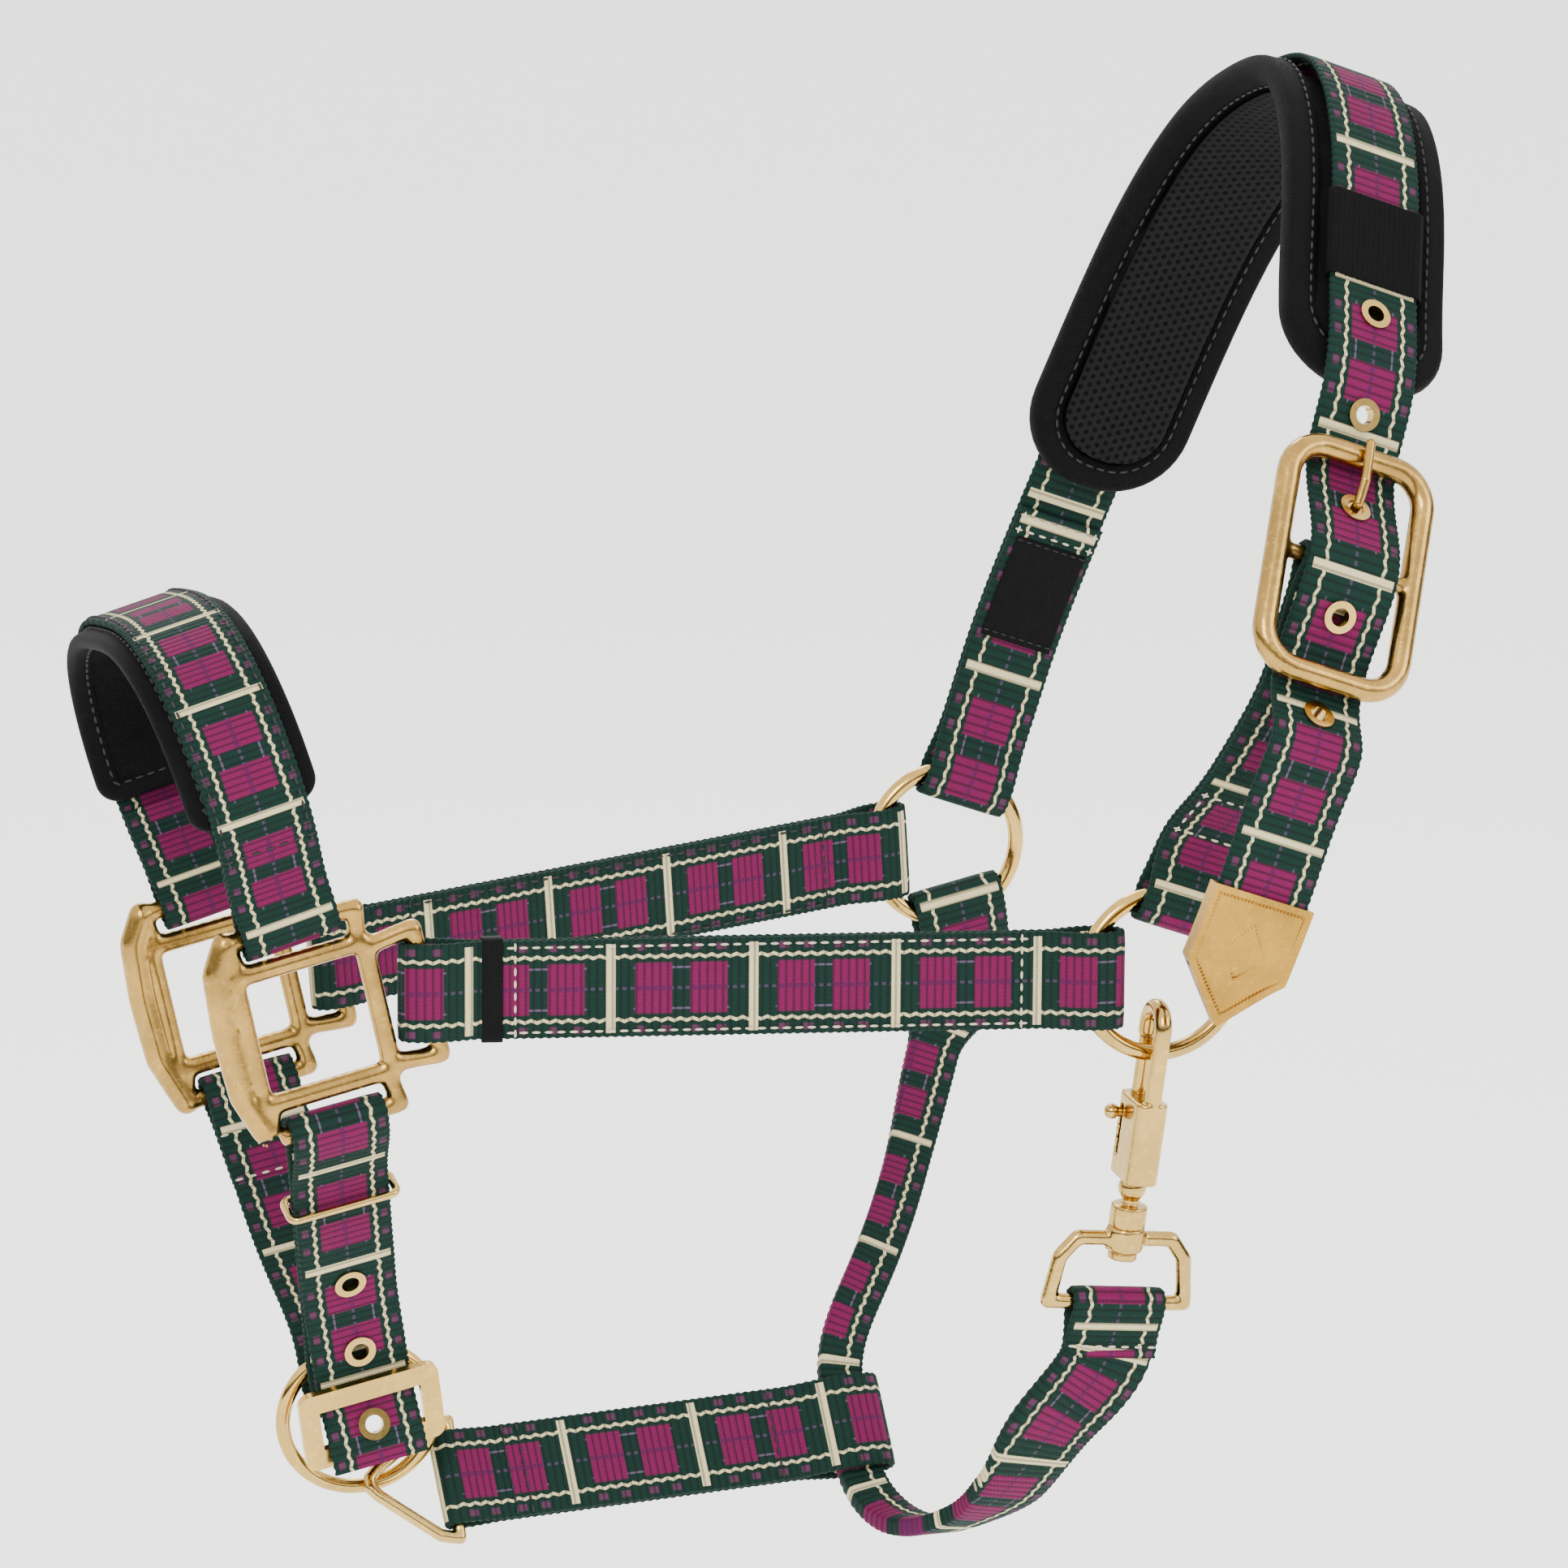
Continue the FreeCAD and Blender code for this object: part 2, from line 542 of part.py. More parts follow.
# ---------------------------------------------------------------- jaw strap and its wire link
jaw_l = V(-157.0, -2.0, -135.0)
jaw_r = V(-56.0, 0, -131.2)
jaw_x = (jaw_r - jaw_l).normalize()
roll = math.radians(jaw_roll)
jaw_w = V(0, math.sin(roll), math.cos(roll))
jaw_w = (jaw_w - jaw_x * jaw_w.dot(jaw_x)).normalize()
jaw = frame(jaw_l, jaw_x, jaw_w)
jaw_len = (jaw_r - jaw_l).Length
link_wire = 3.0
link_apex = -21.5
link_skew = 1.0
thread_r = 3.7
left_eye = put(prism(eye(link_wire / 2 + 0.35, 2 * link_skew, 9.0), web_w),
               FreeCAD.Placement(V(link_skew, 0, 0), FreeCAD.Rotation(Z, 180)))
right_eye = prism(eye(thread_r, 7.6, 12.0), web_w)
right_eye.translate(V(jaw_len, 0, 0))
a = 9.0 + link_skew
flat = prism(poly([(a, -web_t), (jaw_len - 12, -web_t), (jaw_len - 12, web_t), (a, web_t)]), web_w)
export("jaw_strap", put(fused([left_eye, flat, right_eye]), jaw))
link_turn = FreeCAD.Placement(V(), FreeCAD.Rotation(Y, 5))
b = web_w / 2 + 3.2
link = wire_run([(0, 0, -b), (0, 0, b), (-4.8, 0, b - 0.9), (link_apex + 2.0, 0, 3.4), (link_apex, 0, 1.2),
                 (link_apex, 0, -1.2), (link_apex + 2.0, 0, -3.4), (-4.8, 0, 0.9 - b)], link_wire / 2, True)
export("jaw_link", put(link, jaw.multiply(link_turn)))

# ---------------------------------------------------------------- snap hook on the near ring
axis = V(0.105, -0.09, 0.99).normalize()
hook_z = 64.0
contact = V(-2.1, -half, -ring_r)
base = contact - axis * hook_z
snap_x = (X - axis * X.dot(axis)).normalize()
snap = frame(base, snap_x, axis)
dee_w = 32.5
dee_wire = 3.5
foot = dee_w / 2 + 1.6
shoulder = dee_w / 2 - 4
dee = wire_run([(-foot, 0, 0), (foot, 0, 0), (dee_w / 2, 0, 11.5), (shoulder, 0, 16.5), (-shoulder, 0, 16.5),
                (-dee_w / 2, 0, 11.5)], dee_wire / 2, True)
boss = Part.makeCylinder(4.6, 6.0, V(0, 0, 13.6))
dee = fused([dee, boss]).cut(Part.makeCylinder(2.05, 12, V(0, 0, 10)))
export("snap_dee", put(dee, snap))
post = [Part.makeCylinder(2.0, 18.0, V(0, 0, 12.5)), Part.makeCylinder(3.5, 2.0, V(0, 0, 11.4)),
        Part.makeCylinder(4.4, 5.4, V(0, 0, 19.75)), Part.makeSphere(3.3, V(0, 0, 29.6))]
body = Part.makeBox(8.0, 14.4, 20.5, V(-4.0, -7.0, 32.0))
body = body.makeFillet(2.6, [e for e in body.Edges if e.BoundBox.ZLength > 15])
shank_y = -5.0
hook = wire_run([(0, shank_y, 45), (0, shank_y, 70.5)], 2.0)
arc = Part.Arc(V(0, shank_y, 70.5), V(0, 0, 75.5), V(0, 5, 70.5)).toShape()
bend = Part.Wire([arc]).makePipeShell([Part.Wire(Part.makeCircle(2.0, V(0, shank_y, 70.5), Z))], True, True)
tip_end = Part.makeCylinder(2.0, 3.3, V(0, 5, 67.3))
bolt_y = 5.0 - 0.6
snap_body = fused(post + [body, hook, bend, tip_end])
snap_body = snap_body.cut(Part.makeCylinder(1.95, 30, V(0, bolt_y, 34.0)))
snap_body = snap_body.cut(Part.makeBox(8, 2.7, 13.0, V(-8, bolt_y - 1.35, 36.8)))
export("snap_hook", put(snap_body, snap))
bolt = fused([Part.makeCylinder(1.9, 22.4, V(0, bolt_y, 44.5)),
              Part.makeCylinder(1.25, 6.2, V(0, bolt_y, 47.5), V(-1, 0, 0)),
              Part.makeSphere(1.9, V(-6.4, bolt_y, 47.5))])
export("snap_bolt", put(bolt, snap))
helix = Part.makeHelix(1.7, 9.6, 1.25)
helix.Placement = FreeCAD.Placement(V(0, bolt_y, 34.5), FreeCAD.Rotation())
coil_start = helix.Edges[0].valueAt(helix.Edges[0].FirstParameter)
coil_way = helix.Edges[0].tangentAt(helix.Edges[0].FirstParameter)
coil_section = Part.Wire(Part.makeCircle(0.3, coil_start, coil_way))
coil = Part.Wire(helix.Edges).makePipeShell([coil_section], True, True)
export("bolt_spring", put(coil, snap))

# ---------------------------------------------------------------- throat strap
far_c = V(0, half, 0)
drop = math.radians(-78.0)
loop_dir = V(math.cos(drop), 0, math.sin(drop))
loop_w = V(-loop_dir.z, 0, loop_dir.x)
ring_eye = put(prism(eye(eye_r, eye_run, 9.0), web_w), frame(far_c + loop_dir * ring_r, -loop_dir, loop_w))
dee_eye = put(prism(eye(dee_wire / 2 + 0.35, 0, 8.0), web_w), frame(base, axis, snap_x))
thread = jaw.multVec(V(jaw_len + 3.8, 0, 0))
way = -jaw_w
stations = [
    (far_c + loop_dir * (ring_r + 11.0), 23.4, 3.2),
    (V(0.5, half - 6.5, -39), 22.5, 3.7),
    (V(-9, 63, -52), 13.5, 4.8),
    (V(-24, 42, -78), 11.5, 4.8),
    (V(-41, 21.5, -99.5), 11.5, 4.8),
    (thread - way * 13, 11.2, 4.8),
    (thread, 11.2, 4.8),
    (thread + way * 13, 11.2, 4.8),
    (V(-46.5, -23, -150.0), 11.5, 4.8),
    (V(-37, -42, -144.4), 13.0, 4.7),
    (V(-29.5, -56.5, -133), 19.5, 4.2),
    (V(-22.5, -68.5, -114), 23.4, 3.6),
    (base - axis * 10.0, 23.4, 3.2)]
spine = Part.BSplineCurve()
spine.interpolate(Points=[p for p, w, t in stations], InitialTangent=loop_dir, FinalTangent=axis)
knots = [spine.parameter(p) for p, w, t in stations]


def section(at, way, w, t):
    x, y = w / 2, t / 2
    rim = [V(x, y, 0), V(-x, y, 0), V(-x, -y, 0), V(x, -y, 0), V(x, y, 0)]
    return put(Part.makePolygon(rim), frame(at, (X - way * X.dot(way)).normalize(), way))


end_w = 23.4
end_t = 3.2
sections = [section(far_c + loop_dir * (ring_r + 7.4), loop_dir, end_w, end_t)]
per_gap = 4
for k in range(len(stations) - 1):
    steps = range(per_gap) if k < len(stations) - 2 else range(per_gap + 1)
    for j in steps:
        f = j / per_gap
        u = knots[k] + (knots[k + 1] - knots[k]) * f
        blend = f * f * (3 - 2 * f)
        w = stations[k][1] + (stations[k + 1][1] - stations[k][1]) * blend
        t = stations[k][2] + (stations[k + 1][2] - stations[k][2]) * blend
        d = V(*spine.tangent(u)[0]).normalize()
        sections.append(section(spine.value(u), d, w, t))
sections.append(section(base - axis * 6.6, axis, end_w, end_t))
throat = Part.makeLoft(sections, True, True)
export("throat_strap", fused([throat, ring_eye, dee_eye]))
print("seat", seat)
split = crown_path.value(crown_path.parameterAtDistance(split_s, crown_path.FirstParameter))
points = {"bar": crown.multVec(bar_at), "split": crown.multVec(split), "chin_ring": chin_ring_c,
          "contact": contact, "jaw_l": jaw_l}
ways = {"ring_n": ring_n, "lay": chin.Rotation.multVec(low_near - inner0), "axis": axis, "jaw_w": jaw_w}
for label, value in points.items():
    print(label, value - seat)
for label, value in ways.items():
    print(label, value)
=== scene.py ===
"""Padded webbing headcollar: straps, pads, brass and stage, laid out as an add-on."""
import json
import math

import bpy
import numpy as np
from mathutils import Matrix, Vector

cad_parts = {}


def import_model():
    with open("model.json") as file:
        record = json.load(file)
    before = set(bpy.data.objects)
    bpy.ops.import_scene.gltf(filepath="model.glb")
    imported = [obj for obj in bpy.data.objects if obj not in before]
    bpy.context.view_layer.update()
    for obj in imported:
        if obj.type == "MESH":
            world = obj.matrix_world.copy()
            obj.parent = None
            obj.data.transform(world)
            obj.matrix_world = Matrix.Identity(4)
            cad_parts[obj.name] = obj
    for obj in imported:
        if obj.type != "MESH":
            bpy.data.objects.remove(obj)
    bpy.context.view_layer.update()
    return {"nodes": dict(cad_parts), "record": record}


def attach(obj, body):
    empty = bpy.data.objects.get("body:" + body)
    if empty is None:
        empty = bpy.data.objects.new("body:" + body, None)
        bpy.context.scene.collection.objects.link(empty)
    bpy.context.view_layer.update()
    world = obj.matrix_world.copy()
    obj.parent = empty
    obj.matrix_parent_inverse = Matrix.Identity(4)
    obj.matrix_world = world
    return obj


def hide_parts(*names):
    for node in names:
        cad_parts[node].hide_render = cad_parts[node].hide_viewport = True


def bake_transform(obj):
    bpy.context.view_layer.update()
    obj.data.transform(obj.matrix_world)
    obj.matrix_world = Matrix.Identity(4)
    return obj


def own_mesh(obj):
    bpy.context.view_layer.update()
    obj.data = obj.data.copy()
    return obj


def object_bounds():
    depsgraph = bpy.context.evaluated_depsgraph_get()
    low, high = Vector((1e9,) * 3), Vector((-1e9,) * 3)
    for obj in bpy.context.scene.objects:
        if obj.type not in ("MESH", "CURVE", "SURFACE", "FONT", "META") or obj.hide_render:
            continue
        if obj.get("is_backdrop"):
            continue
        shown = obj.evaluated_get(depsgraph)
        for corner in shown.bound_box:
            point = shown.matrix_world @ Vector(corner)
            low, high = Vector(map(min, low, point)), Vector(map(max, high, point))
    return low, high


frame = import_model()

bl_info = {
    "name": "Padded webbing headcollar",
    "version": (1, 0, 0),
    "blender": (4, 5, 0),
    "location": "View3D > Sidebar > Headcollar",
    "description": "Webbing, pads, stitching and brass of a padded headcollar",
    "category": "Object",
}

# ------------------------------------------------------------------ sizes, in mm
WEB_W, WEB_T, AIR = 24.0, 1.8, 0.4
RING_R, RING_WIRE = 19.75, 4.0
HALF, NOSE_HALF, CHEEK_RUN, NOSE_DROP, NOSE_LIFT = 80.0, 48.0, 203.5, 11.6, 6.5
BAR_R, BAR_REACH, CHEEK_REACH = 2.0, 25.0, 28.8
PAD_W, PAD_T = 44.0, 8.0
EYE_R = RING_WIRE / 2 + AIR
EYE_RUN = RING_R - math.sqrt((RING_R - RING_WIRE / 2) ** 2 - (WEB_W / 2) ** 2) + 0.3 - EYE_R + AIR
SNAP_AXIS, BOLT_TRAVEL = (0.105, -0.09, 0.99), 7.0


# ------------------------------------------------------------------ frames and curves
def unit(v):
    v = np.asarray(v, float)
    return v / np.linalg.norm(v)


class Plane:
    """A local frame: x and z follow ex and ez, and y completes them."""

    def __init__(self, origin, ex, ez):
        self.o = np.asarray(origin, float)
        self.x = unit(ex)
        self.y = unit(np.cross(ez, self.x))
        self.z = np.cross(self.x, self.y)

    def at(self, points):
        """Local points in mm to ring-line points in mm."""
        p = np.atleast_2d(np.asarray(points, float))
        if p.shape[1] == 2:
            p = np.hstack([p, np.zeros((len(p), 1))])
        return self.o + p @ np.array([self.x, self.y, self.z])


def cubic(points, start=None, end=None, per=24):
    """Dense points on a cubic spline through points, spaced by chord length."""
    p = np.asarray(points, float)
    t = np.concatenate([[0], np.cumsum(np.linalg.norm(np.diff(p, axis=0), axis=1))])
    n, h = len(p), np.diff(t)
    a, rhs = np.zeros((n, n)), np.zeros_like(p)
    for i in range(1, n - 1):
        a[i, i - 1], a[i, i], a[i, i + 1] = h[i], 2 * (h[i - 1] + h[i]), h[i - 1]
        rhs[i] = 3 * (h[i] * (p[i] - p[i - 1]) / h[i - 1] + h[i - 1] * (p[i + 1] - p[i]) / h[i])
    for i, way, j, k in ((0, start, 1, 0), (n - 1, end, n - 2, n - 2)):
        if way is None:
            a[i, i], a[i, j], rhs[i] = 2, 1, 3 * (p[k + 1] - p[k]) / h[k]
        else:
            a[i, i], rhs[i] = 1, unit(way)
    m = np.linalg.solve(a, rhs)
    out = []
    for i in range(n - 1):
        for f in np.arange(per) / per:
            h00, h10 = 2 * f ** 3 - 3 * f ** 2 + 1, f ** 3 - 2 * f ** 2 + f
            h11 = f ** 3 - f ** 2
            out.append(h00 * p[i] + h10 * h[i] * m[i] + (1 - h00) * p[i + 1] + h11 * h[i] * m[i + 1])
    return np.array(out + [p[-1]])


class Path:
    """A curve measured by its length."""

    def __init__(self, dense):
        self.p = np.asarray(dense, float)
        self.s = np.concatenate([[0], np.cumsum(np.linalg.norm(np.diff(self.p, axis=0), axis=1))])
        self.length = self.s[-1]

    def at(self, s):
        return np.stack([np.interp(s, self.s, self.p[:, k]) for k in range(self.p.shape[1])], axis=-1)

    def way(self, s):
        ahead, behind = (self.at(np.clip(np.asarray(s) + step, 0, self.length)) for step in (0.4, -0.4))
        d = ahead - behind
        return d / np.linalg.norm(d, axis=-1, keepdims=True)

    def off(self, s, gap):
        """Points beside a flat curve, gap to its left."""
        d = self.way(s)
        return self.at(s) + np.stack([-d[..., 1], d[..., 0]], axis=-1) * gap

    def near(self, point):
        return self.s[np.argmin(np.linalg.norm(self.p - np.asarray(point, float), axis=1))]


def fold(c, e, r, run, tip, side=1):
    """Route of one layer round a wire at c: in along one side, round, and back; the strap lies along e."""
    c, e = np.asarray(c, float), unit(e)
    n = np.array([-e[1], e[0]]) * side
    big = r + WEB_T / 2
    route = [(tip, WEB_T / 2), (tip * 0.55, (big + WEB_T / 2) * 0.5), (0.3, big), (-run, big)]
    route += [(-run - big * math.sin(a), big * math.cos(a)) for a in np.radians((45, 90, 135))]
    route += [(-run, -big), (0.3, -big), (tip * 0.55, -(big + WEB_T / 2) * 0.5), (tip, -WEB_T / 2)]
    return [c + e * x + n * y for x, y in route]


# ------------------------------------------------------------------ driving frames, as the CAD has them
def lean(deg):
    a = math.radians(deg)
    return np.array([math.sin(a), 0, math.cos(a)]), np.array([math.cos(a), 0, -math.sin(a)])


CROWN_UP, CROWN_ACROSS = lean(20.0)
CROWN = Plane((0, 0, 0), (0, 1, 0), CROWN_ACROSS)
BAR_AT = np.array([-103.0, 108.0])
E_UP = unit((0.417, 0.909))
E_OUT = np.array([-E_UP[1], E_UP[0]])


def weave(s, n):
    return BAR_AT + E_UP * s + E_OUT * n


BAR_LIFT = 1.75 + 0.3 + WEB_T + 0.5 + WEB_T / 2
REACH = 62.0 / 2 - 5.4 / 2
DIP = -(5.4 / 2 + 1.0 + 0.35 + WEB_T / 2)
FOLD_END = RING_R + 9.0
CROWN_POINTS = [(HALF + 0.9, FOLD_END), (82.3, 54), (78.5, 92), (71, 135), (60, 175), (40, 204), (18, 217),
                (-5, 221.5), (-30, 210.5), (-50, 191), (-66, 171), weave(45, -2.2), weave(REACH, DIP),
                weave(14, 0.2), weave(0, BAR_LIFT), weave(-14, 0.2), weave(-REACH, DIP), weave(-36, -3.2),
                weave(-44, 0.3), (-121.8, 56), (-121.6, 30), (-119.5, 8), (-119, -4)]
CROWN_PATH = Path(cubic(CROWN_POINTS, (0, 1), (0, -1)))
BAR_S = CROWN_PATH.near(weave(0, BAR_LIFT))
SPLIT_S = CROWN_PATH.near(weave(-33.2, -4.0))
SEAT_S = CROWN_PATH.near((-5, 221.5))
PAD_GAP = WEB_T / 2 + 0.85
PAD_0, PAD_1 = CROWN_PATH.near((76.6, 101)), CROWN_PATH.near((-82, 151))
SEAT = CROWN.at(CROWN_PATH.off(SEAT_S, PAD_GAP + PAD_T + 1.0))[0]

TURN = math.radians(12.5)
SQ_X = np.array([math.cos(TURN), 0, math.sin(TURN)])
SQUARES = {name: Plane((-CHEEK_RUN + ahead, side * NOSE_HALF, -NOSE_DROP - side * NOSE_LIFT), SQ_X, (0, 1, 0))
           for name, side, ahead in (("near", -1, 0), ("far", 1, 2.5))}


def bar_point(name, x, y):
    return SQUARES[name].at((x, -y, 0))[0]


NOSE_MID = np.array([-CHEEK_RUN, 0, -NOSE_DROP])


def ended(tilt, reach):
    """Frame across the two squares, and their bars in it."""
    up, across = lean(-tilt)
    bars = [bar_point(n, 0, reach) for n in ("near", "far")]
    plane = Plane(NOSE_MID + across * sum((b - NOSE_MID) @ across for b in bars) / 2, (0, 1, 0), across)
    return plane, [np.array([(b - NOSE_MID)[1], (b - NOSE_MID) @ up]) for b in bars]


# ------------------------------------------------------------------ meshes
def world(points):
    """Ring-line mm to the row frame in metres."""
    return (np.asarray(points, float) - SEAT) / 1000.0


def mesh_object(name, verts, faces, uvs=None, smooth=True):
    mesh = bpy.data.meshes.new(name)
    mesh.from_pydata([tuple(v) for v in verts], [], faces)
    if uvs is not None:
        layer = mesh.uv_layers.new(name="UV")
        layer.data.foreach_set("uv", np.asarray(uvs, np.float32).ravel())
    mesh.polygons.foreach_set("use_smooth", [smooth] * len(mesh.polygons))
    obj = bpy.data.objects.new(name, mesh)
    bpy.context.collection.objects.link(obj)
    mesh.validate()
    bm_fix(mesh)
    return obj


def bm_fix(mesh):
    import bmesh
    bm = bmesh.new()
    bm.from_mesh(mesh)
    bmesh.ops.recalc_face_normals(bm, faces=bm.faces)
    bm.to_mesh(mesh)
    bm.free()


def section(rows=9):
    """Flat section with rounded edges: (across -1..1, through -1..1)."""
    top = [(x, 1.0 if abs(x) < 0.93 else 0.86) for x in np.linspace(-0.965, 0.965, rows)]
    low = [(x, -z) for x, z in reversed(top)]
    return top + [(1.0, 0.42), (1.0, -0.42)] + low + [(-1.0, -0.42), (-1.0, 0.42)]


def ribbon(name, points, across, width=WEB_W, thick=WEB_T, closed=False, u_start=0.0, selvedge=0.16,
           shift=None, u_scale=1.0):
    """A woven strap along points (mm), lying along the across directions, with its length and width as UV."""
    p = np.asarray(points, float)
    n = len(p)
    w = np.broadcast_to(across, (n, 3)).astype(float)
    nxt, prv = np.roll(p, -1, axis=0), np.roll(p, 1, axis=0)
    if not closed:
        nxt[-1], prv[0] = p[-1], p[0]
    d = nxt - prv
    d /= np.linalg.norm(d, axis=1, keepdims=True)
    w = w - d * np.sum(w * d, axis=1, keepdims=True)
    w /= np.linalg.norm(w, axis=1, keepdims=True)
    nrm = np.cross(d, w)
    s = np.concatenate([[0], np.cumsum(np.linalg.norm(np.diff(p, axis=0), axis=1))]) * u_scale + u_start
    half_w = np.broadcast_to(np.asarray(width, float) / 2, (n,)) + selvedge * np.cos(np.pi * np.arange(n))
    half_t = np.broadcast_to(np.asarray(thick, float) / 2, (n,))
    sec = np.array(section())
    m = len(sec)
    verts = (p[:, None] + w[:, None] * (sec[None, :, :1] * half_w[:, None, None])
             + nrm[:, None] * (sec[None, :, 1:] * half_t[:, None, None])).reshape(-1, 3)
    move = np.zeros(n) if shift is None else shift
    v_of = 0.5 + sec[None, :, 0] * (half_w / WEB_W)[:, None] + move[:, None]
    faces, uvs = [], []
    for i in range(n if closed else n - 1):
        j = (i + 1) % n
        sj = s[j] if j else s[-1] + u_scale * np.linalg.norm(p[0] - p[-1])
        for k in range(m):
            q = (k + 1) % m
            faces.append((i * m + k, i * m + q, j * m + q, j * m + k))
            uvs += [(s[i], v_of[i, k]), (s[i], v_of[i, q]), (sj, v_of[j, q]), (sj, v_of[j, k])]
    if not closed:
        for i, order in ((0, range(m - 1, -1, -1)), (n - 1, range(m))):
            faces.append(tuple(i * m + k for k in order))
            uvs += [(s[i], v_of[i, k]) for k in order]
    return mesh_object(name, world(verts), faces, uvs)


def punch(obj, plane, path, lengths, radius=2.5, gap=0.0):
    """Cuts round holes through a strap at lengths along its route."""
    for s in lengths:
        c, d = path.off(np.array([s]), gap)[0], path.way(np.array([s]))[0]
        n = np.array([-d[1], d[0]])
        ring = np.linspace(0, 2 * math.pi, 25)[:-1]
        verts = []
        for k in (-1.6, 1.6):
            verts += [(*(c + n * k + d * radius * math.cos(a)), radius * math.sin(a)) for a in ring]
        faces = [(k, (k + 1) % 24, 24 + (k + 1) % 24, 24 + k) for k in range(24)]
        faces += [tuple(range(23, -1, -1)), tuple(range(24, 48))]
        cutter = mesh_object("cutter", world(plane.at(verts)), faces)
        cut = obj.modifiers.new("hole", "BOOLEAN")
        cut.object, cut.operation, cut.solver = cutter, "DIFFERENCE", "EXACT"
        bpy.context.view_layer.update()
        done = bpy.data.meshes.new_from_object(obj.evaluated_get(bpy.context.evaluated_depsgraph_get()))
        obj.modifiers.clear()
        obj.data = done
        bpy.data.objects.remove(cutter)
    return obj


def even(path, step=1.0, s0=0.0, s1=None):
    s1 = path.length if s1 is None else s1
    return np.linspace(s0, s1, max(4, int(round((s1 - s0) / step)) + 1))


def loop_points(route, step=1.0):
    """Evenly spaced points on a closed smooth route, an even number of them."""
    r = [np.asarray(p, float) for p in route]
    dense = cubic(r[-4:] + r + r[:4], per=16)
    dense = dense[16 * 4: 16 * (4 + len(r)) + 1]
    path = Path(dense)
    count = 2 * int(path.length / step / 2)
    return path.at(np.arange(count) * path.length / count)


# ------------------------------------------------------------------ shaders
class Val:
    """A value socket that takes part in arithmetic."""

    def __init__(self, shade, socket):
        self.shade, self.socket = shade, socket

    def __add__(self, o):
        return self.shade.math("ADD", self, o)

    def __radd__(self, o):
        return self.shade.math("ADD", o, self)

    def __sub__(self, o):
        return self.shade.math("SUBTRACT", self, o)

    def __rsub__(self, o):
        return self.shade.math("SUBTRACT", o, self)

    def __mul__(self, o):
        return self.shade.math("MULTIPLY", self, o)

    def __rmul__(self, o):
        return self.shade.math("MULTIPLY", o, self)

    def __truediv__(self, o):
        return self.shade.math("DIVIDE", self, o)

    def __lt__(self, o):
        return self.shade.math("LESS_THAN", self, o)

    def __gt__(self, o):
        return self.shade.math("GREATER_THAN", self, o)

    def __mod__(self, o):
        return self.shade.math("FLOORED_MODULO", self, o)

    def __abs__(self):
        return self.shade.math("ABSOLUTE", self)


class Shade:
    """One material's node tree, built from expressions."""

    def __init__(self, name):
        self.material = bpy.data.materials.new(name)
        self.material.use_nodes = True
        self.tree = self.material.node_tree
        self.bsdf = self.tree.nodes["Principled BSDF"]

    def plug(self, socket, value):
        if isinstance(value, Val):
            value = value.socket
        if isinstance(value, bpy.types.NodeSocket):
            self.tree.links.new(value, socket)
        else:
            socket.default_value = value

    def node(self, kind, settings=None, inputs=None, out=0):
        made = self.tree.nodes.new(kind)
        for key, value in (settings or {}).items():
            setattr(made, key, value)
        for key, value in (inputs or {}).items():
            self.plug(made.inputs[key], value)
        return Val(self, made.outputs[out])

    def math(self, op, *args):
        return self.node("ShaderNodeMath", {"operation": op}, dict(enumerate(args)))

    def mix(self, a, b, f):
        """Colour a where f is 0, b where it is 1."""
        return self.node("ShaderNodeMix", {"data_type": "RGBA"}, {0: f, 6: a, 7: b}, 2)

    def near(self, x, centre, wide, soft=0.25):
        """1 within wide/2 of a centre, with a soft edge."""
        return self.node("ShaderNodeMapRange", {"interpolation_type": "SMOOTHSTEP"},
                         {0: abs(x - centre), 1: wide / 2 * (1 + soft), 2: wide / 2 * (1 - soft),
                          3: 0.0, 4: 1.0})

    def noise(self, where, scale, detail=3.0, rough=0.6):
        return self.node("ShaderNodeTexNoise", None, {"Vector": where, "Scale": scale, "Detail": detail,
                                                      "Roughness": rough})

    def spot(self):
        return self.node("ShaderNodeTexCoord", None, None, "Object")

    def wave(self, x, pitch):
        return self.math("SINE", x * (2 * math.pi / pitch))

    def bump(self, height, distance, strength=1.0):
        return self.node("ShaderNodeBump", None,
                         {"Height": height, "Distance": distance, "Strength": strength})

    def finish(self, **inputs):
        for key, value in inputs.items():
            self.plug(self.bsdf.inputs[key.replace("_", " ")], value)
        return self.material


def rgb(c):
    """Display colour 0-255 to a linear RGBA."""
    lin = [(x / 255 / 12.92 if x / 255 <= 0.04045 else ((x / 255 + 0.055) / 1.055) ** 2.4) for x in c]
    return (*lin, 1.0)


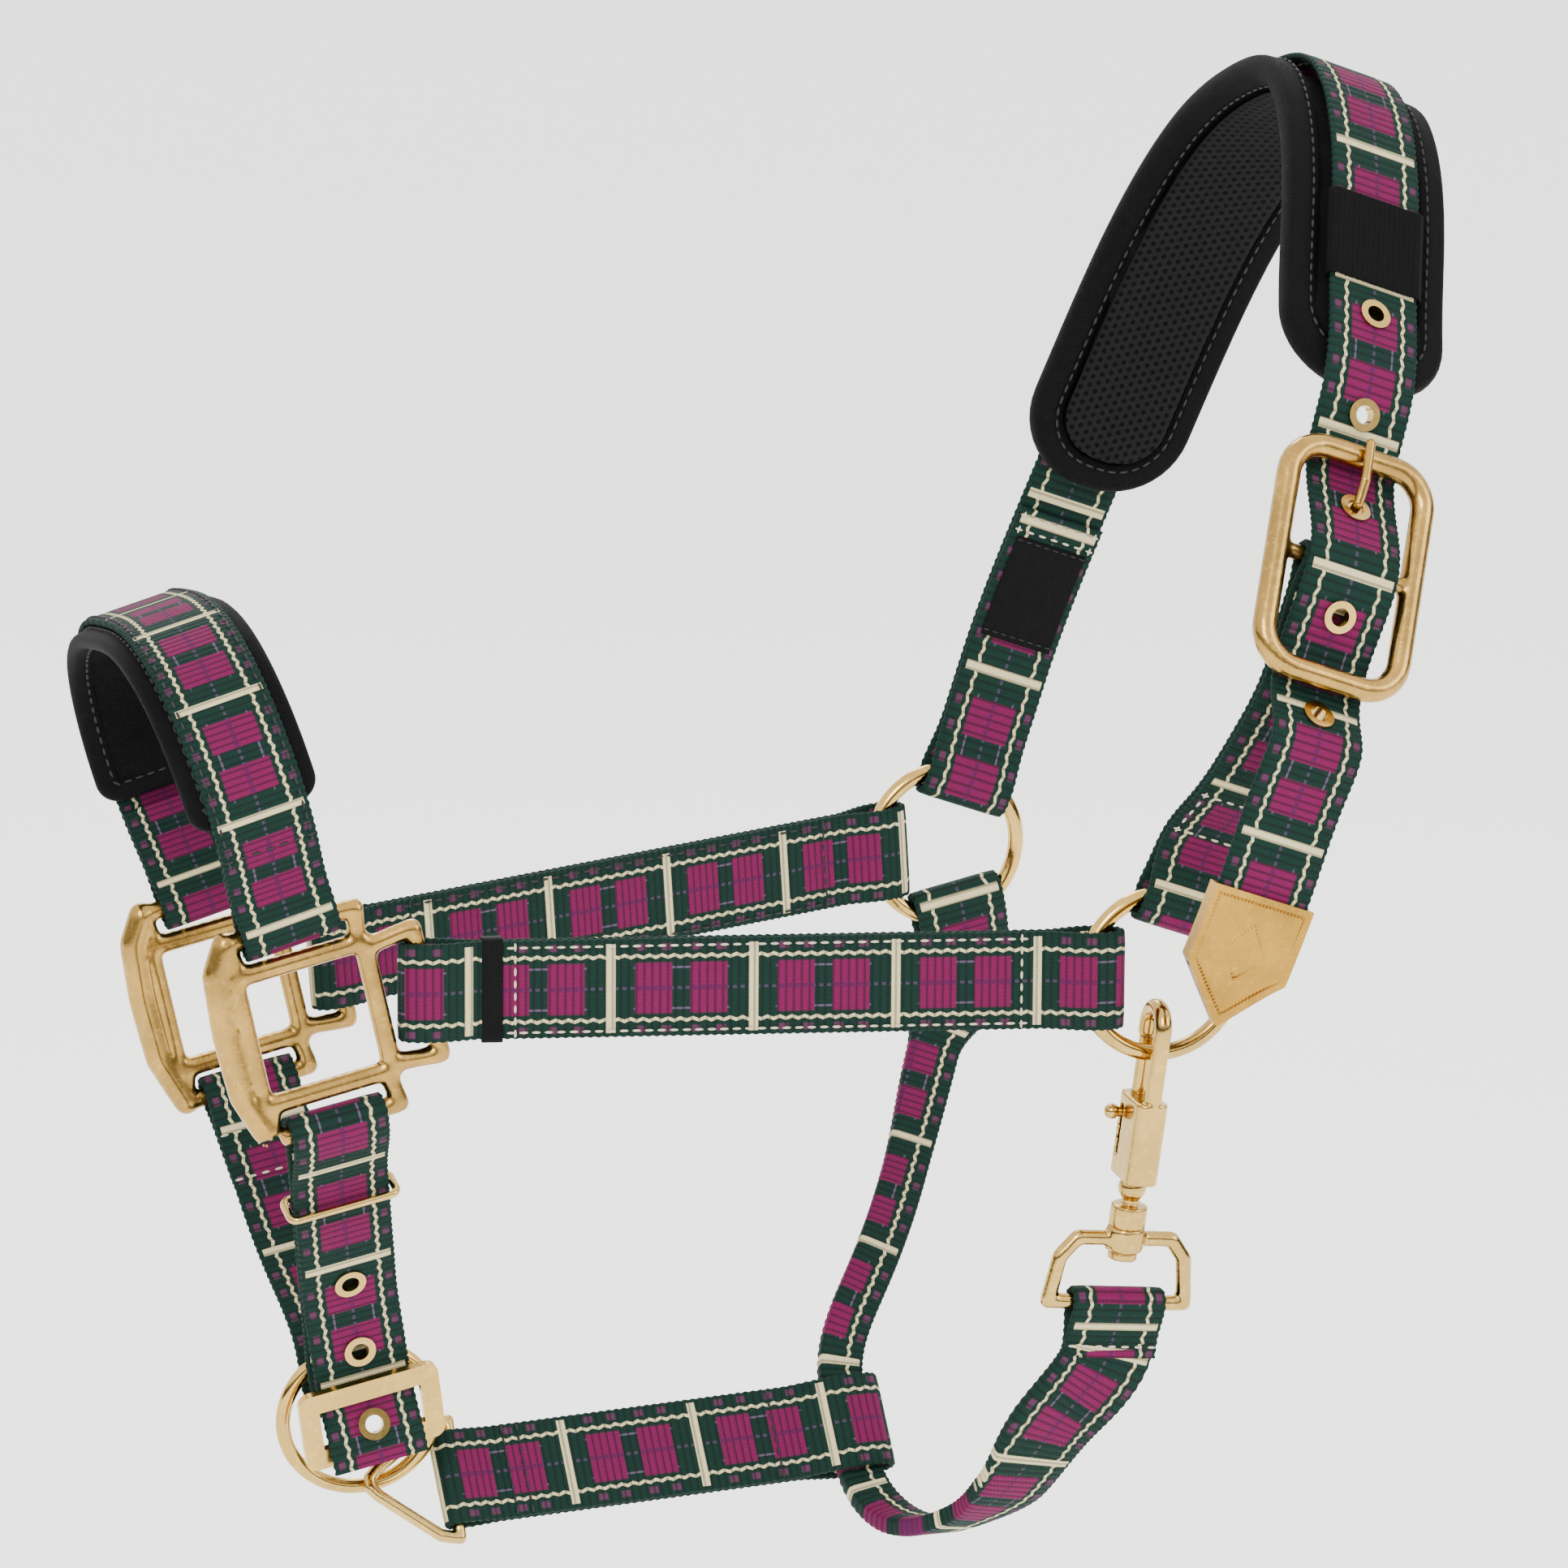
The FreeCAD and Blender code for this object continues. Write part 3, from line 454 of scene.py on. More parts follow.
def webbing_material(sizes):
    """Tartan weave: green ground, magenta blocks, cream bars and edge lines."""
    sh = Shade("webbing")
    uv = sh.node("ShaderNodeUVMap", {"uv_map": "UV"})
    parts = sh.tree.nodes.new("ShaderNodeSeparateXYZ")
    sh.plug(parts.inputs[0], uv)
    u, v = Val(sh, parts.outputs[0]), Val(sh, parts.outputs[1])
    rib = sh.wave(u, 1.9)
    u_r = u + rib * 0.10
    t = (u_r + 3.0) % 34.4
    mid = sh.near(v, 0.5, 0.52, 0.06)
    blocks = sh.math("MAXIMUM", sh.near(t, 12.0, 8.8, 0.05), sh.near(t, 25.3, 8.8, 0.05))
    dark = sh.near(t, 18.6, 4.6, 0.1) * mid * 0.35
    colour = sh.mix(rgb(tuple(sizes.ground * 255)), rgb((12, 36, 31)), dark)
    lines = sh.math("MAXIMUM", sh.near(v, 0.29, 0.022), sh.near(v, 0.71, 0.022))
    lines = lines * sh.near(t, 18.6, 23.0, 0.04)
    colour = sh.mix(colour, rgb((96, 78, 104)), lines * 0.7)
    colour = sh.mix(colour, rgb(tuple(sizes.block * 255)), blocks * mid)
    dash = ((u % 1.9) < 1.1) * sh.near(v, 0.5, 0.045)
    colour = sh.mix(colour, rgb((70, 22, 66)), dash * blocks * 0.85)
    colour = sh.mix(colour, rgb((84, 60, 92)), ((u % 1.9) < 1.0) * sh.near(v, 0.5, 0.03) * (1 - blocks) * 0.5)
    ends = sh.math("MAXIMUM", sh.near(abs(t - 12.0), 3.0, 2.2, 0.3), sh.near(abs(t - 25.3), 3.0, 2.2, 0.3))
    side = abs(v - 0.5)
    colour = sh.mix(colour, rgb((84, 42, 70)), ends * sh.near(side, 0.42, 0.07) * 0.9)
    zig = (abs(((u % 3.0) / 3.0) - 0.5) - 0.25) * 0.05
    colour = sh.mix(colour, rgb(tuple(sizes.cream * 255)), sh.near(side + zig, 0.325, 0.034, 0.2))
    bar = sh.near(t, 1.2, 2.1, 0.15) * (side < 0.455)
    colour = sh.mix(colour, rgb(tuple(sizes.cream * 255)), bar)
    fuzz = sh.noise(sh.spot(), 900.0, 2.0)
    # Painted shade: the troughs between the ribs, where the bump is lowest, are darkened towards near-black;
    # the noise adds random tone on top.
    colour = sh.mix(colour, rgb((12, 16, 16)), sh.near(rib, -1.0, 0.9, 0.9) * 0.55 + (fuzz - 0.5) * 0.25)
    across = sh.wave(v, 0.042)
    height = rib * 0.5 + across * rib * 0.28 + (fuzz - 0.5) * 0.7
    return sh.finish(Base_Color=colour, Roughness=0.82 - fuzz * 0.14, Specular_IOR_Level=0.12,
                     Normal=sh.bump(height, 0.00028, 0.75))


def cloth_material(name, colour, pitch, lift, rough=0.9, along=None):
    """Plain dark cloth with a fine weave and a little dust."""
    sh = Shade(name)
    where = sh.spot()
    parts = sh.tree.nodes.new("ShaderNodeSeparateXYZ")
    sh.plug(parts.inputs[0], where)
    x, y, z = (Val(sh, parts.outputs[k]) for k in range(3))
    weave_h = sh.wave(x + z, pitch) * sh.wave(y - z, pitch)
    if along is not None:
        weave_h = sh.wave(x * along[0] + y * along[1] + z * along[2], pitch)
    fuzz = sh.noise(where, 420.0, 4.0, 0.7)
    wide = sh.noise(where, 22.0, 2.0)
    tint = sh.mix(rgb(colour), rgb(tuple(min(255, c + 14) for c in colour)), fuzz * 0.5 + wide * 0.25)
    return sh.finish(Base_Color=tint, Roughness=rough - wide * 0.08, Specular_IOR_Level=0.06,
                     Normal=sh.bump(weave_h * 0.5 + fuzz * 0.8, lift, 0.8))


def mesh_material():
    """Perforated lining: a grid of small holes in soft black knit, the holes painted near-black as the shade
    inside them.
    """
    sh = Shade("pad_mesh")
    parts = sh.tree.nodes.new("ShaderNodeSeparateXYZ")
    sh.plug(parts.inputs[0], sh.node("ShaderNodeUVMap", {"uv_map": "UV"}))
    u, v = Val(sh, parts.outputs[0]), Val(sh, parts.outputs[1]) * WEB_W
    row = sh.math("FLOOR", v / 2.1)
    a = ((u + row * 1.2) % 2.4) - 1.2
    b = (v % 2.1) - 1.05
    hole = sh.near(sh.math("SQRT", a * a + b * b), 0.0, 1.25, 0.25)
    fuzz = sh.noise(sh.spot(), 700.0)
    # Painted shade: the holes are coloured near-black, darker than the knit, as the shade inside them.
    colour = sh.mix(rgb((20, 20, 22)), rgb((1, 1, 1)), hole)
    return sh.finish(Base_Color=colour, Roughness=0.8 + fuzz * 0.1, Specular_IOR_Level=0.1,
                     Normal=sh.bump(fuzz * 0.3 - hole, 0.0004, 0.9))


def metal_material(name, colour, rough, wear=0.5, pitted=0.2):
    """Brass with tarnish patches, fine scratches and slightly uneven casting."""
    sh = Shade(name)
    where = sh.spot()
    patch = sh.noise(where, 38.0, 4.0, 0.6)
    fine = sh.noise(where, 520.0, 3.0, 0.7)
    dull = tuple(c * 0.72 for c in colour)
    tint = sh.mix(rgb(colour), rgb(dull), sh.near(patch, 0.62, 0.34, 0.9) * wear)
    bright = tuple(min(255, c * 1.12 + 8) for c in colour)
    tint = sh.mix(tint, rgb(bright), sh.near(fine, 0.68, 0.16, 0.9) * 0.3)
    return sh.finish(Base_Color=tint, Metallic=1.0,
                     Roughness=rough + (patch - 0.5) * 0.16 + (fine - 0.5) * 0.08,
                     Normal=sh.bump(patch * 0.6 + fine * pitted, 0.00022, 0.55))


def thread_material(name, colour):
    sh = Shade(name)
    twist = sh.noise(sh.spot(), 1500.0, 2.0)
    tint = sh.mix(rgb(colour), rgb(tuple(c * 0.7 for c in colour)), twist)
    return sh.finish(Base_Color=tint, Roughness=0.7, Normal=sh.bump(twist, 0.0002, 0.6))


# ------------------------------------------------------------------ stitches by geometry nodes
def stitch_tree():
    """Points of an edge chain become a run of small thread stitches."""
    tree = bpy.data.node_groups.new("stitches", "GeometryNodeTree")
    tree.interface.new_socket("Geometry", in_out="INPUT", socket_type="NodeSocketGeometry")
    for name, value in (("Pitch", 0.003), ("Length", 0.0021), ("Radius", 0.00035)):
        tree.interface.new_socket(name, in_out="INPUT", socket_type="NodeSocketFloat").default_value = value
    tree.interface.new_socket("Thread", in_out="INPUT", socket_type="NodeSocketMaterial")
    tree.interface.new_socket("Geometry", in_out="OUTPUT", socket_type="NodeSocketGeometry")
    made = {}
    for key, kind in (("in", "NodeGroupInput"), ("curve", "GeometryNodeMeshToCurve"),
                      ("even", "GeometryNodeResampleCurve"), ("tangent", "GeometryNodeInputTangent"),
                      ("align", "FunctionNodeAlignRotationToVector"), ("ball", "GeometryNodeMeshUVSphere"),
                      ("size", "ShaderNodeCombineXYZ"), ("stretch", "GeometryNodeTransform"),
                      ("place", "GeometryNodeInstanceOnPoints"), ("real", "GeometryNodeRealizeInstances"),
                      ("paint", "GeometryNodeSetMaterial"), ("out", "NodeGroupOutput"),
                      ("half", "ShaderNodeMath")):
        made[key] = tree.nodes.new(kind)
    made["even"].mode = "LENGTH"
    made["align"].axis = "Z"
    made["half"].operation = "MULTIPLY"
    made["half"].inputs[1].default_value = 0.5
    made["ball"].inputs["Segments"].default_value = 6
    made["ball"].inputs["Rings"].default_value = 5
    made["ball"].inputs["Radius"].default_value = 1.0
    link = tree.links.new
    link(made["in"].outputs["Geometry"], made["curve"].inputs["Mesh"])
    link(made["curve"].outputs["Curve"], made["even"].inputs["Curve"])
    link(made["in"].outputs["Pitch"], made["even"].inputs["Length"])
    link(made["even"].outputs["Curve"], made["place"].inputs["Points"])
    link(made["tangent"].outputs["Tangent"], made["align"].inputs["Vector"])
    link(made["align"].outputs["Rotation"], made["place"].inputs["Rotation"])
    link(made["in"].outputs["Length"], made["half"].inputs[0])
    link(made["in"].outputs["Radius"], made["size"].inputs["X"])
    link(made["in"].outputs["Radius"], made["size"].inputs["Y"])
    link(made["half"].outputs[0], made["size"].inputs["Z"])
    link(made["ball"].outputs["Mesh"], made["stretch"].inputs["Geometry"])
    link(made["size"].outputs["Vector"], made["stretch"].inputs["Scale"])
    link(made["stretch"].outputs["Geometry"], made["place"].inputs["Instance"])
    link(made["place"].outputs["Instances"], made["real"].inputs["Geometry"])
    link(made["real"].outputs["Geometry"], made["paint"].inputs["Geometry"])
    link(made["in"].outputs["Thread"], made["paint"].inputs["Material"])
    link(made["paint"].outputs["Geometry"], made["out"].inputs["Geometry"])
    return tree


def stitches(name, chains, material, body, pitch=3.0, length=2.1, radius=0.34):
    """One mesh of stitches along chains of points (ring-line mm)."""
    tree = bpy.data.node_groups.get("stitches") or stitch_tree()
    verts, edges = [], []
    for chain in chains:
        first = len(verts)
        verts += [tuple(v) for v in world(chain)]
        edges += [(first + k, first + k + 1) for k in range(len(chain) - 1)]
    mesh = bpy.data.meshes.new(name)
    mesh.from_pydata(verts, edges, [])
    obj = bpy.data.objects.new(name, mesh)
    bpy.context.collection.objects.link(obj)
    mod = obj.modifiers.new("stitches", "NODES")
    mod.node_group = tree
    values = {"Pitch": pitch / 1000, "Length": length / 1000, "Radius": radius / 1000, "Thread": material}
    for item in tree.interface.items_tree:
        if item.in_out == "INPUT" and item.name in values:
            mod[item.identifier] = values[item.name]
    bpy.context.view_layer.update()
    done = bpy.data.meshes.new_from_object(obj.evaluated_get(bpy.context.evaluated_depsgraph_get()))
    obj.modifiers.clear()
    obj.data = done
    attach(obj, body)
    return obj


def dress(obj, material, body, slot, *nodes):
    obj.data.materials.clear()
    obj.data.materials.append(material)
    if body:
        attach(obj, body)
    if nodes:
        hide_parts(*nodes)
    return obj


# ------------------------------------------------------------------ settings
class StrapSettings(bpy.types.PropertyGroup):
    """Colours of the woven straps"""
    ground: bpy.props.FloatVectorProperty(name="Ground", description="Ground colour of the weave",
                                          subtype="COLOR", size=3, default=(0.045, 0.155, 0.125), min=0, max=1)
    block: bpy.props.FloatVectorProperty(name="Blocks", description="Colour of the wide blocks",
                                         subtype="COLOR", size=3, default=(0.40, 0.06, 0.255), min=0, max=1)
    cream: bpy.props.FloatVectorProperty(name="Bars", description="Colour of the bars and edge lines",
                                         subtype="COLOR", size=3, default=(0.80, 0.75, 0.58), min=0, max=1)


class PadSettings(bpy.types.PropertyGroup):
    """Fullness of the pads"""
    pressure: bpy.props.FloatProperty(name="Pressure", description="Pressure that swells the pads",
                                      default=4.0, min=0, max=12)
    swell: bpy.props.FloatProperty(name="Most swell", description="Furthest that a pad's skin may move",
                                   unit="LENGTH", default=0.0022, min=0, max=0.01)


class StageSettings(bpy.types.PropertyGroup):
    """Light and viewing angle"""
    azimuth: bpy.props.FloatProperty(name="Azimuth", description="Camera's turn round the object, in degrees",
                                     default=-18.0)
    elevation: bpy.props.FloatProperty(name="Elevation", description="Camera's height angle, in degrees",
                                       default=11.5)
    distance: bpy.props.FloatProperty(name="Distance", description="Camera distance", unit="LENGTH",
                                      default=2.0)
    lens: bpy.props.FloatProperty(name="Lens", description="Focal length in mm on a 36 mm sensor",
                                  default=182.46)


MATERIALS = {}


def tools():
    """Materials, made once."""
    if MATERIALS:
        return MATERIALS
    MATERIALS.update({
        "webbing": webbing_material(bpy.context.scene.hc_straps),
        "pad_cloth": cloth_material("pad_cloth", (6, 6, 7), 0.0011, 0.0003),
        "binding": cloth_material("binding", (5, 5, 6), 0.0009, 0.0002, 0.75),
        "pad_mesh": mesh_material(),
        "elastic": cloth_material("elastic", (6, 6, 7), 0.0014, 0.0004, 0.8,
                                  along=(CROWN_ACROSS[0], 0.0, CROWN_ACROSS[2])),
        "label_cloth": cloth_material("label_cloth", (6, 6, 7), 0.0006, 0.00012, 0.6),
        "nose_lining": cloth_material("nose_lining", (7, 7, 8), 0.0010, 0.0003),
        "ring_brass": metal_material("ring_brass", (206, 168, 92), 0.13, 0.5),
        "cast_brass": metal_material("cast_brass", (190, 150, 78), 0.24, 0.75, 0.5),
        "eyelet_brass": metal_material("eyelet_brass", (210, 174, 100), 0.2, 0.35),
        "tip_brass": metal_material("tip_brass", (188, 142, 58), 0.32, 0.6, 0.7),
        "wire_brass": metal_material("wire_brass", (212, 176, 104), 0.14, 0.4),
        "slide_brass": metal_material("slide_brass", (206, 168, 92), 0.22, 0.35),
        "snap_brass": metal_material("snap_brass", (208, 170, 94), 0.15, 0.5),
        "spring_steel": metal_material("spring_steel", (190, 190, 192), 0.3, 0.3),
        "cream_thread": thread_material("cream_thread", (222, 212, 184)),
        "black_thread": thread_material("black_thread", (24, 24, 26)),
    })
    return MATERIALS


# ------------------------------------------------------------------ straps
def box_seams(plane, path, s_a, s_b, gaps, width=WEB_W):
    """Rectangular stitch boxes on both faces of a strap between two lengths of its route."""
    chains = []
    for gap in gaps:
        lo, hi = -width / 2 + 1.7, width / 2 - 1.7
        run = np.linspace(s_a, s_b, 10)
        for z in (lo, hi):
            flat = path.off(run, gap)
            chains.append(plane.at(np.hstack([flat, np.full((10, 1), z)])))
        for s in (s_a, s_b):
            p = path.off(np.array([s]), gap)[0]
            chains.append(plane.at([(p[0], p[1], z) for z in np.linspace(lo, hi, 12)]))
    return chains


class HC_OT_crown(bpy.types.Operator):
    """Crown strap with its free end and the stitched far fold"""
    bl_idname = "headcollar.crown"
    bl_label = "Crown strap"

    def execute(self, context):
        m = tools()
        back = [CROWN_PATH.off(s, WEB_T) for s in np.linspace(62, 4, 14)]
        turn = fold((HALF, RING_R), (0, 1), EYE_R, EYE_RUN, 9.0, side=1)
        stay = SPLIT_S - 8
        ahead = [CROWN_PATH.at(s) for s in np.linspace(3.5, stay, 130)]
        route = Path(cubic(back + turn[1:-1] + ahead, per=8))
        s = even(route)
        obj = ribbon("crown_webbing", CROWN.at(route.at(s)), CROWN.z, u_start=30.3, u_scale=0.84)
        punch(obj, CROWN, CROWN_PATH, [BAR_S - 15.6 - 27.0 * k for k in (2, 1, 0)] + [BAR_S + 13.5])
        dress(obj, m["webbing"], "crown", "webbing", "crown_strap")
        stitches("crown_fold_stitches", box_seams(CROWN, CROWN_PATH, 12, 26, (-WEB_T / 2 - 0.1,))
                 + box_seams(CROWN, CROWN_PATH, 56, 60, (-WEB_T / 2 - 0.1, WEB_T * 1.5 + 0.1)),
                 m["cream_thread"], "crown")
        end = CROWN_PATH.length - 33.0 + 17
        s = np.linspace(stay - 3, end, int(end - stay) + 4)
        tail = ribbon("tail_webbing", CROWN.at(CROWN_PATH.at(s)), CROWN.z, u_start=18.5)
        punch(tail, CROWN, CROWN_PATH, [BAR_S + 40.5])
        dress(tail, m["webbing"], None, "webbing", "crown_tail")
        tip, gap = CROWN_PATH.length - 33.0, -(WEB_T / 2 + 1.35)

        def on_tip(corners):
            """Beads follow straight runs between corners given as (length down the tip, across)."""
            c = np.array(corners, float)
            run = np.vstack([c[k] + (c[k + 1] - c[k]) * f
                             for k in range(len(c) - 1) for f in np.linspace(0, 0.95, 12)[:, None]])
            flat = CROWN_PATH.off(tip + run[:, 0], gap)
            return CROWN.at(np.hstack([flat, run[:, 1:]]))

        border = on_tip([(2.0, -11.4), (18.4, -11.4), (30.2, 0), (18.4, 11.4), (2.0, 11.4), (2.0, -11.4)])
        diamond = on_tip([(7.0, 0), (14.0, -5.5), (21.0, 0), (14.0, 5.5), (7.0, 0)])
        stitches("tip_beads", [border, diamond], m["tip_brass"], "tail", 0.95, 0.9, 0.42)
        a, b = (CROWN.at(CROWN_PATH.at(x))[0] for x in (SPLIT_S - 7, SPLIT_S + 3))
        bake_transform(tail)
        return {"FINISHED"}


class HC_OT_billet(bpy.types.Operator):
    """Short doubled strap between the near ring and the buckle"""
    bl_idname = "headcollar.billet"
    bl_label = "Billet"

    def execute(self, context):
        m = tools()
        lead_way = unit(E_UP * 0.94 + E_OUT * 0.34)
        lead = BAR_AT - lead_way * 7.0
        line = Path(cubic([lead, weave(-14, -5.2), weave(-REACH, DIP - 2.7 - WEB_T), (-101, 62), (-90, 44),
                           (-HALF, FOLD_END)], -lead_way, (0, -1)))
        down = np.linspace(4, line.length - 3, 22)
        n_half = WEB_T / 2 + 0.02
        route = [line.off(s, -n_half) for s in down]
        route += fold((-HALF, RING_R), (0, 1), EYE_R, EYE_RUN, 9.0, side=1)[1:-1]
        route += [line.off(s, n_half) for s in down[::-1]]
        route += fold(BAR_AT, -lead_way, 1.75 + 0.3, 0.0, 7.0, side=1)[1:-1]
        points = loop_points(route)
        obj = ribbon("billet_webbing", CROWN.at(points), CROWN.z, closed=True, u_start=17.2)
        dress(obj, m["webbing"], "crown", "webbing", "billet")
        boxes = box_seams(CROWN, line, line.length - 22, line.length - 8, (-WEB_T - 0.12, WEB_T + 0.12))
        stitches("billet_stitches", boxes,
                 m["cream_thread"], "crown")
        return {"FINISHED"}


class HC_OT_cheeks(bpy.types.Operator):
    """Cheek straps between the rings and the squares, with a black band on the near one that stands partly for
    its black bar-tack stitching and partly for painted shade at its stitched crease
    """
    bl_idname = "headcollar.cheeks"
    bl_label = "Cheek straps"

    def execute(self, context):
        m = tools()
        for name, side in (("near", -1), ("far", 1)):
            bar = bar_point(name, CHEEK_REACH, 0)
            radial = unit((bar[0], 0, bar[2]))
            wire = np.array([0, side * HALF, 0]) + radial * RING_R
            run = np.linalg.norm(bar - wire)
            plane = Plane(wire, wire - bar, (0, 0, 1))
            a = -run + 3.0 + 9.0
            n_half = WEB_T / 2 + 0.02
            xs = np.linspace(-10, a, 40)
            route = [np.array([x, n_half]) for x in xs[::-1]]
            route += fold((0, 0), (-1, 0), EYE_R + 0.7, EYE_RUN, 9.0, side=-1)[1:-1]
            route += [np.array([x, -n_half]) for x in xs]
            route += fold((-run + 3.0, 0), (1, 0), BAR_R + 0.35, 6.0, 9.0, side=-1)[1:-1]
            obj = ribbon(name + "_cheek_webbing", plane.at(loop_points(route)), plane.z, closed=True,
                         u_start=22.5 if side < 0 else 8.7)
            dress(obj, m["webbing"], "cheeks", "webbing", name + "_cheek")
            chains = []
            for gap in (WEB_T + 0.12, -WEB_T - 0.12):
                for x in (-15.5, a + 9):
                    chains.append(plane.at([(x, gap, z) for z in np.linspace(-10.6, 10.6, 14)]))
                for z in (-10.4, 10.4):
                    chains.append(plane.at([(x, gap, z) for x in np.linspace(a + 8, -15, 40)]))
            thread = m["cream_thread"] if side < 0 else m["black_thread"]
            stitches(name + "_cheek_stitches", chains, thread, "cheeks")
            if side < 0:
                # Black band round the near strap: partly its black bar-tack stitching, partly painted shade
                # where the stitched crease steps down.
                h = WEB_T + 0.3
                loop = [(h, z) for z in np.linspace(-12.2, 12.2, 9)] + [(0, 12.75)]
                loop += [(-h, z) for z in np.linspace(12.2, -12.2, 9)] + [(0, -12.75)]
                ring = loop_points(loop, 0.8)
                pts = plane.at([(a + 3.5, y, z) for y, z in ring])
                thread_and_shade_band = ribbon("cheek_thread_and_shade_band", pts, plane.x, 5.0, 0.45, True, selvedge=0.03)
                dress(thread_and_shade_band, m["label_cloth"], "cheeks", "label_cloth", "cheek_tape")
        return {"FINISHED"}


class HC_OT_noseband(bpy.types.Operator):
    """Noseband webbing, folded round the upper bars of the squares"""
    bl_idname = "headcollar.noseband"
    bl_label = "Noseband"

    def execute(self, context):
        m = tools()
        plane, path, t0, t1, ends = nose_line()
        front = [path.off(s, -WEB_T) for s in np.linspace(17, 2, 5)]
        rear = [path.off(path.length - s, -WEB_T) for s in np.linspace(2, 17, 5)]
        f0 = fold(ends[0] + t0 * 0.9, t0, BAR_R + 0.35, 1.8, 9.0, side=-1)
        f1 = fold(ends[1] - t1 * 0.9, -t1, BAR_R + 0.35, 1.8, 9.0, side=-1)
        route = front + f0[1:-1] + [path.at(s) for s in np.linspace(2, path.length - 2, 70)] + f1[1:-1] + rear
        line = Path(cubic(route, per=8))
        obj = ribbon("noseband_webbing", plane.at(line.at(even(line))), plane.z, u_start=17.0, u_scale=1.19)
        dress(obj, m["webbing"], "cheeks", "webbing", "noseband_web")
        out = WEB_T / 2 + 0.1
        chains = []
        for z in (-10.4, 10.4):
            flat = path.off(np.linspace(12, path.length - 12, 160), out)
            chains.append(plane.at(np.hstack([flat, np.full((160, 1), z)])))
        for s in (13, path.length - 13):
            p = path.off(np.array([s]), out)[0]
            chains.append(plane.at([(p[0], p[1], z) for z in np.linspace(-10.4, 10.4, 12)]))
        stitches("noseband_stitches", chains, m["black_thread"], "cheeks")
        return {"FINISHED"}


def nose_line():
    """Noseband's plane, route, end ways and bars."""
    plane, ends = ended(16.0, BAR_REACH)
    mid, along = (ends[0] + ends[1]) / 2, unit(ends[1] - ends[0])
    normal = np.array([-along[1], along[0]])
    wide, tall = np.linalg.norm(ends[1] - ends[0]) / 2, 103.0 - BAR_REACH
    t0, t1 = unit(normal * 0.95 - along * 0.30), unit(normal * -0.95 - along * 0.30)

    def beside(bar, way, reach):
        return bar + way * reach + np.array([-way[1], way[0]]) * WEB_T / 2

    right = [(1.20, 0.27), (1.255, 0.45), (1.19, 0.66), (0.95, 0.86), (0.55, 0.975)]
    arch = [(-x, y) for x, y in right] + [(0, 1.0)] + right[::-1]
    points = [beside(ends[0], t0, 10.0)] + [mid + along * (x * wide) + normal * (y * tall) for x, y in arch]
    points += [beside(ends[1], t1, -10.0)]
    return plane, Path(cubic(points, t0, t1)), t0, t1, ends


def chin_line():
    """Chin strap's plane and route: far square, round the lead ring, near square, down through the slide."""
    plane, (near_bar, far_bar) = ended(11.3, -BAR_REACH)
    drop, chin_r, lean10 = 108.0, (42.0 - 3.7) / 2, math.radians(10.0)
    top = np.array([-chin_r * math.sin(lean10), -drop + chin_r * math.cos(lean10)])
    side_gap, fold_r, tail_gap = 3.7 / 2 + WEB_T / 2 + 1.9, BAR_R + 0.65 + WEB_T / 2, WEB_T + 0.6
    down = np.array([math.sin(lean10), -math.cos(lean10)])
    aside = np.array([math.cos(lean10), math.sin(lean10)])

    def by_ring(off, depth):
        return top + aside * off + down * depth

    low = by_ring(-side_gap, -1.0)
    lay = unit(low - near_bar)
    lay_out = np.array([lay[1], -lay[0]])
    inner = near_bar - lay_out * fold_r
    way, run = unit(low - inner), np.linalg.norm(low - inner)

    def pt(s, gap):
        return inner + way * s + lay_out * gap

    corner = top + np.array([side_gap + 17, 19])
    far_way = unit(corner - far_bar)
    points = [far_bar + far_way * 10.0, corner]
    points += [by_ring(side_gap, d) for d in (-1.0, 5.0, 10.5)]
    points += [by_ring(side_gap * math.cos(math.radians(a)), 10.5 + side_gap * math.sin(math.radians(a)))
               for a in (45, 90, 135)]
    points += [by_ring(-side_gap, d) for d in (10.5, 5.0)]
    points += [pt(run * k / 10, 0) for k in range(10, -1, -1)]
    for k in (1, 2, 3):
        a = math.radians(45 * k)
        points.append(near_bar - lay_out * (fold_r * math.cos(a)) - lay * (fold_r * math.sin(a)))
    points += [pt(0, 2 * fold_r), pt(8, 2 * fold_r - 1.2), pt(18, tail_gap + 0.4)]
    points += [pt(18 + 40 * k / 5, tail_gap) for k in range(1, 6)]
    a, b = np.array([-17.4, 12.0 - drop]), np.array([-12.7, -3.2 - drop])
    points += [a + (1.2, 9), a + (3.3, 0), a + (3.0, -7), b + (-3.0, 0), b + (-3.1, -4.5)]
    return plane, Path(cubic(points, far_way, (-0.05, -1))), far_bar, far_way


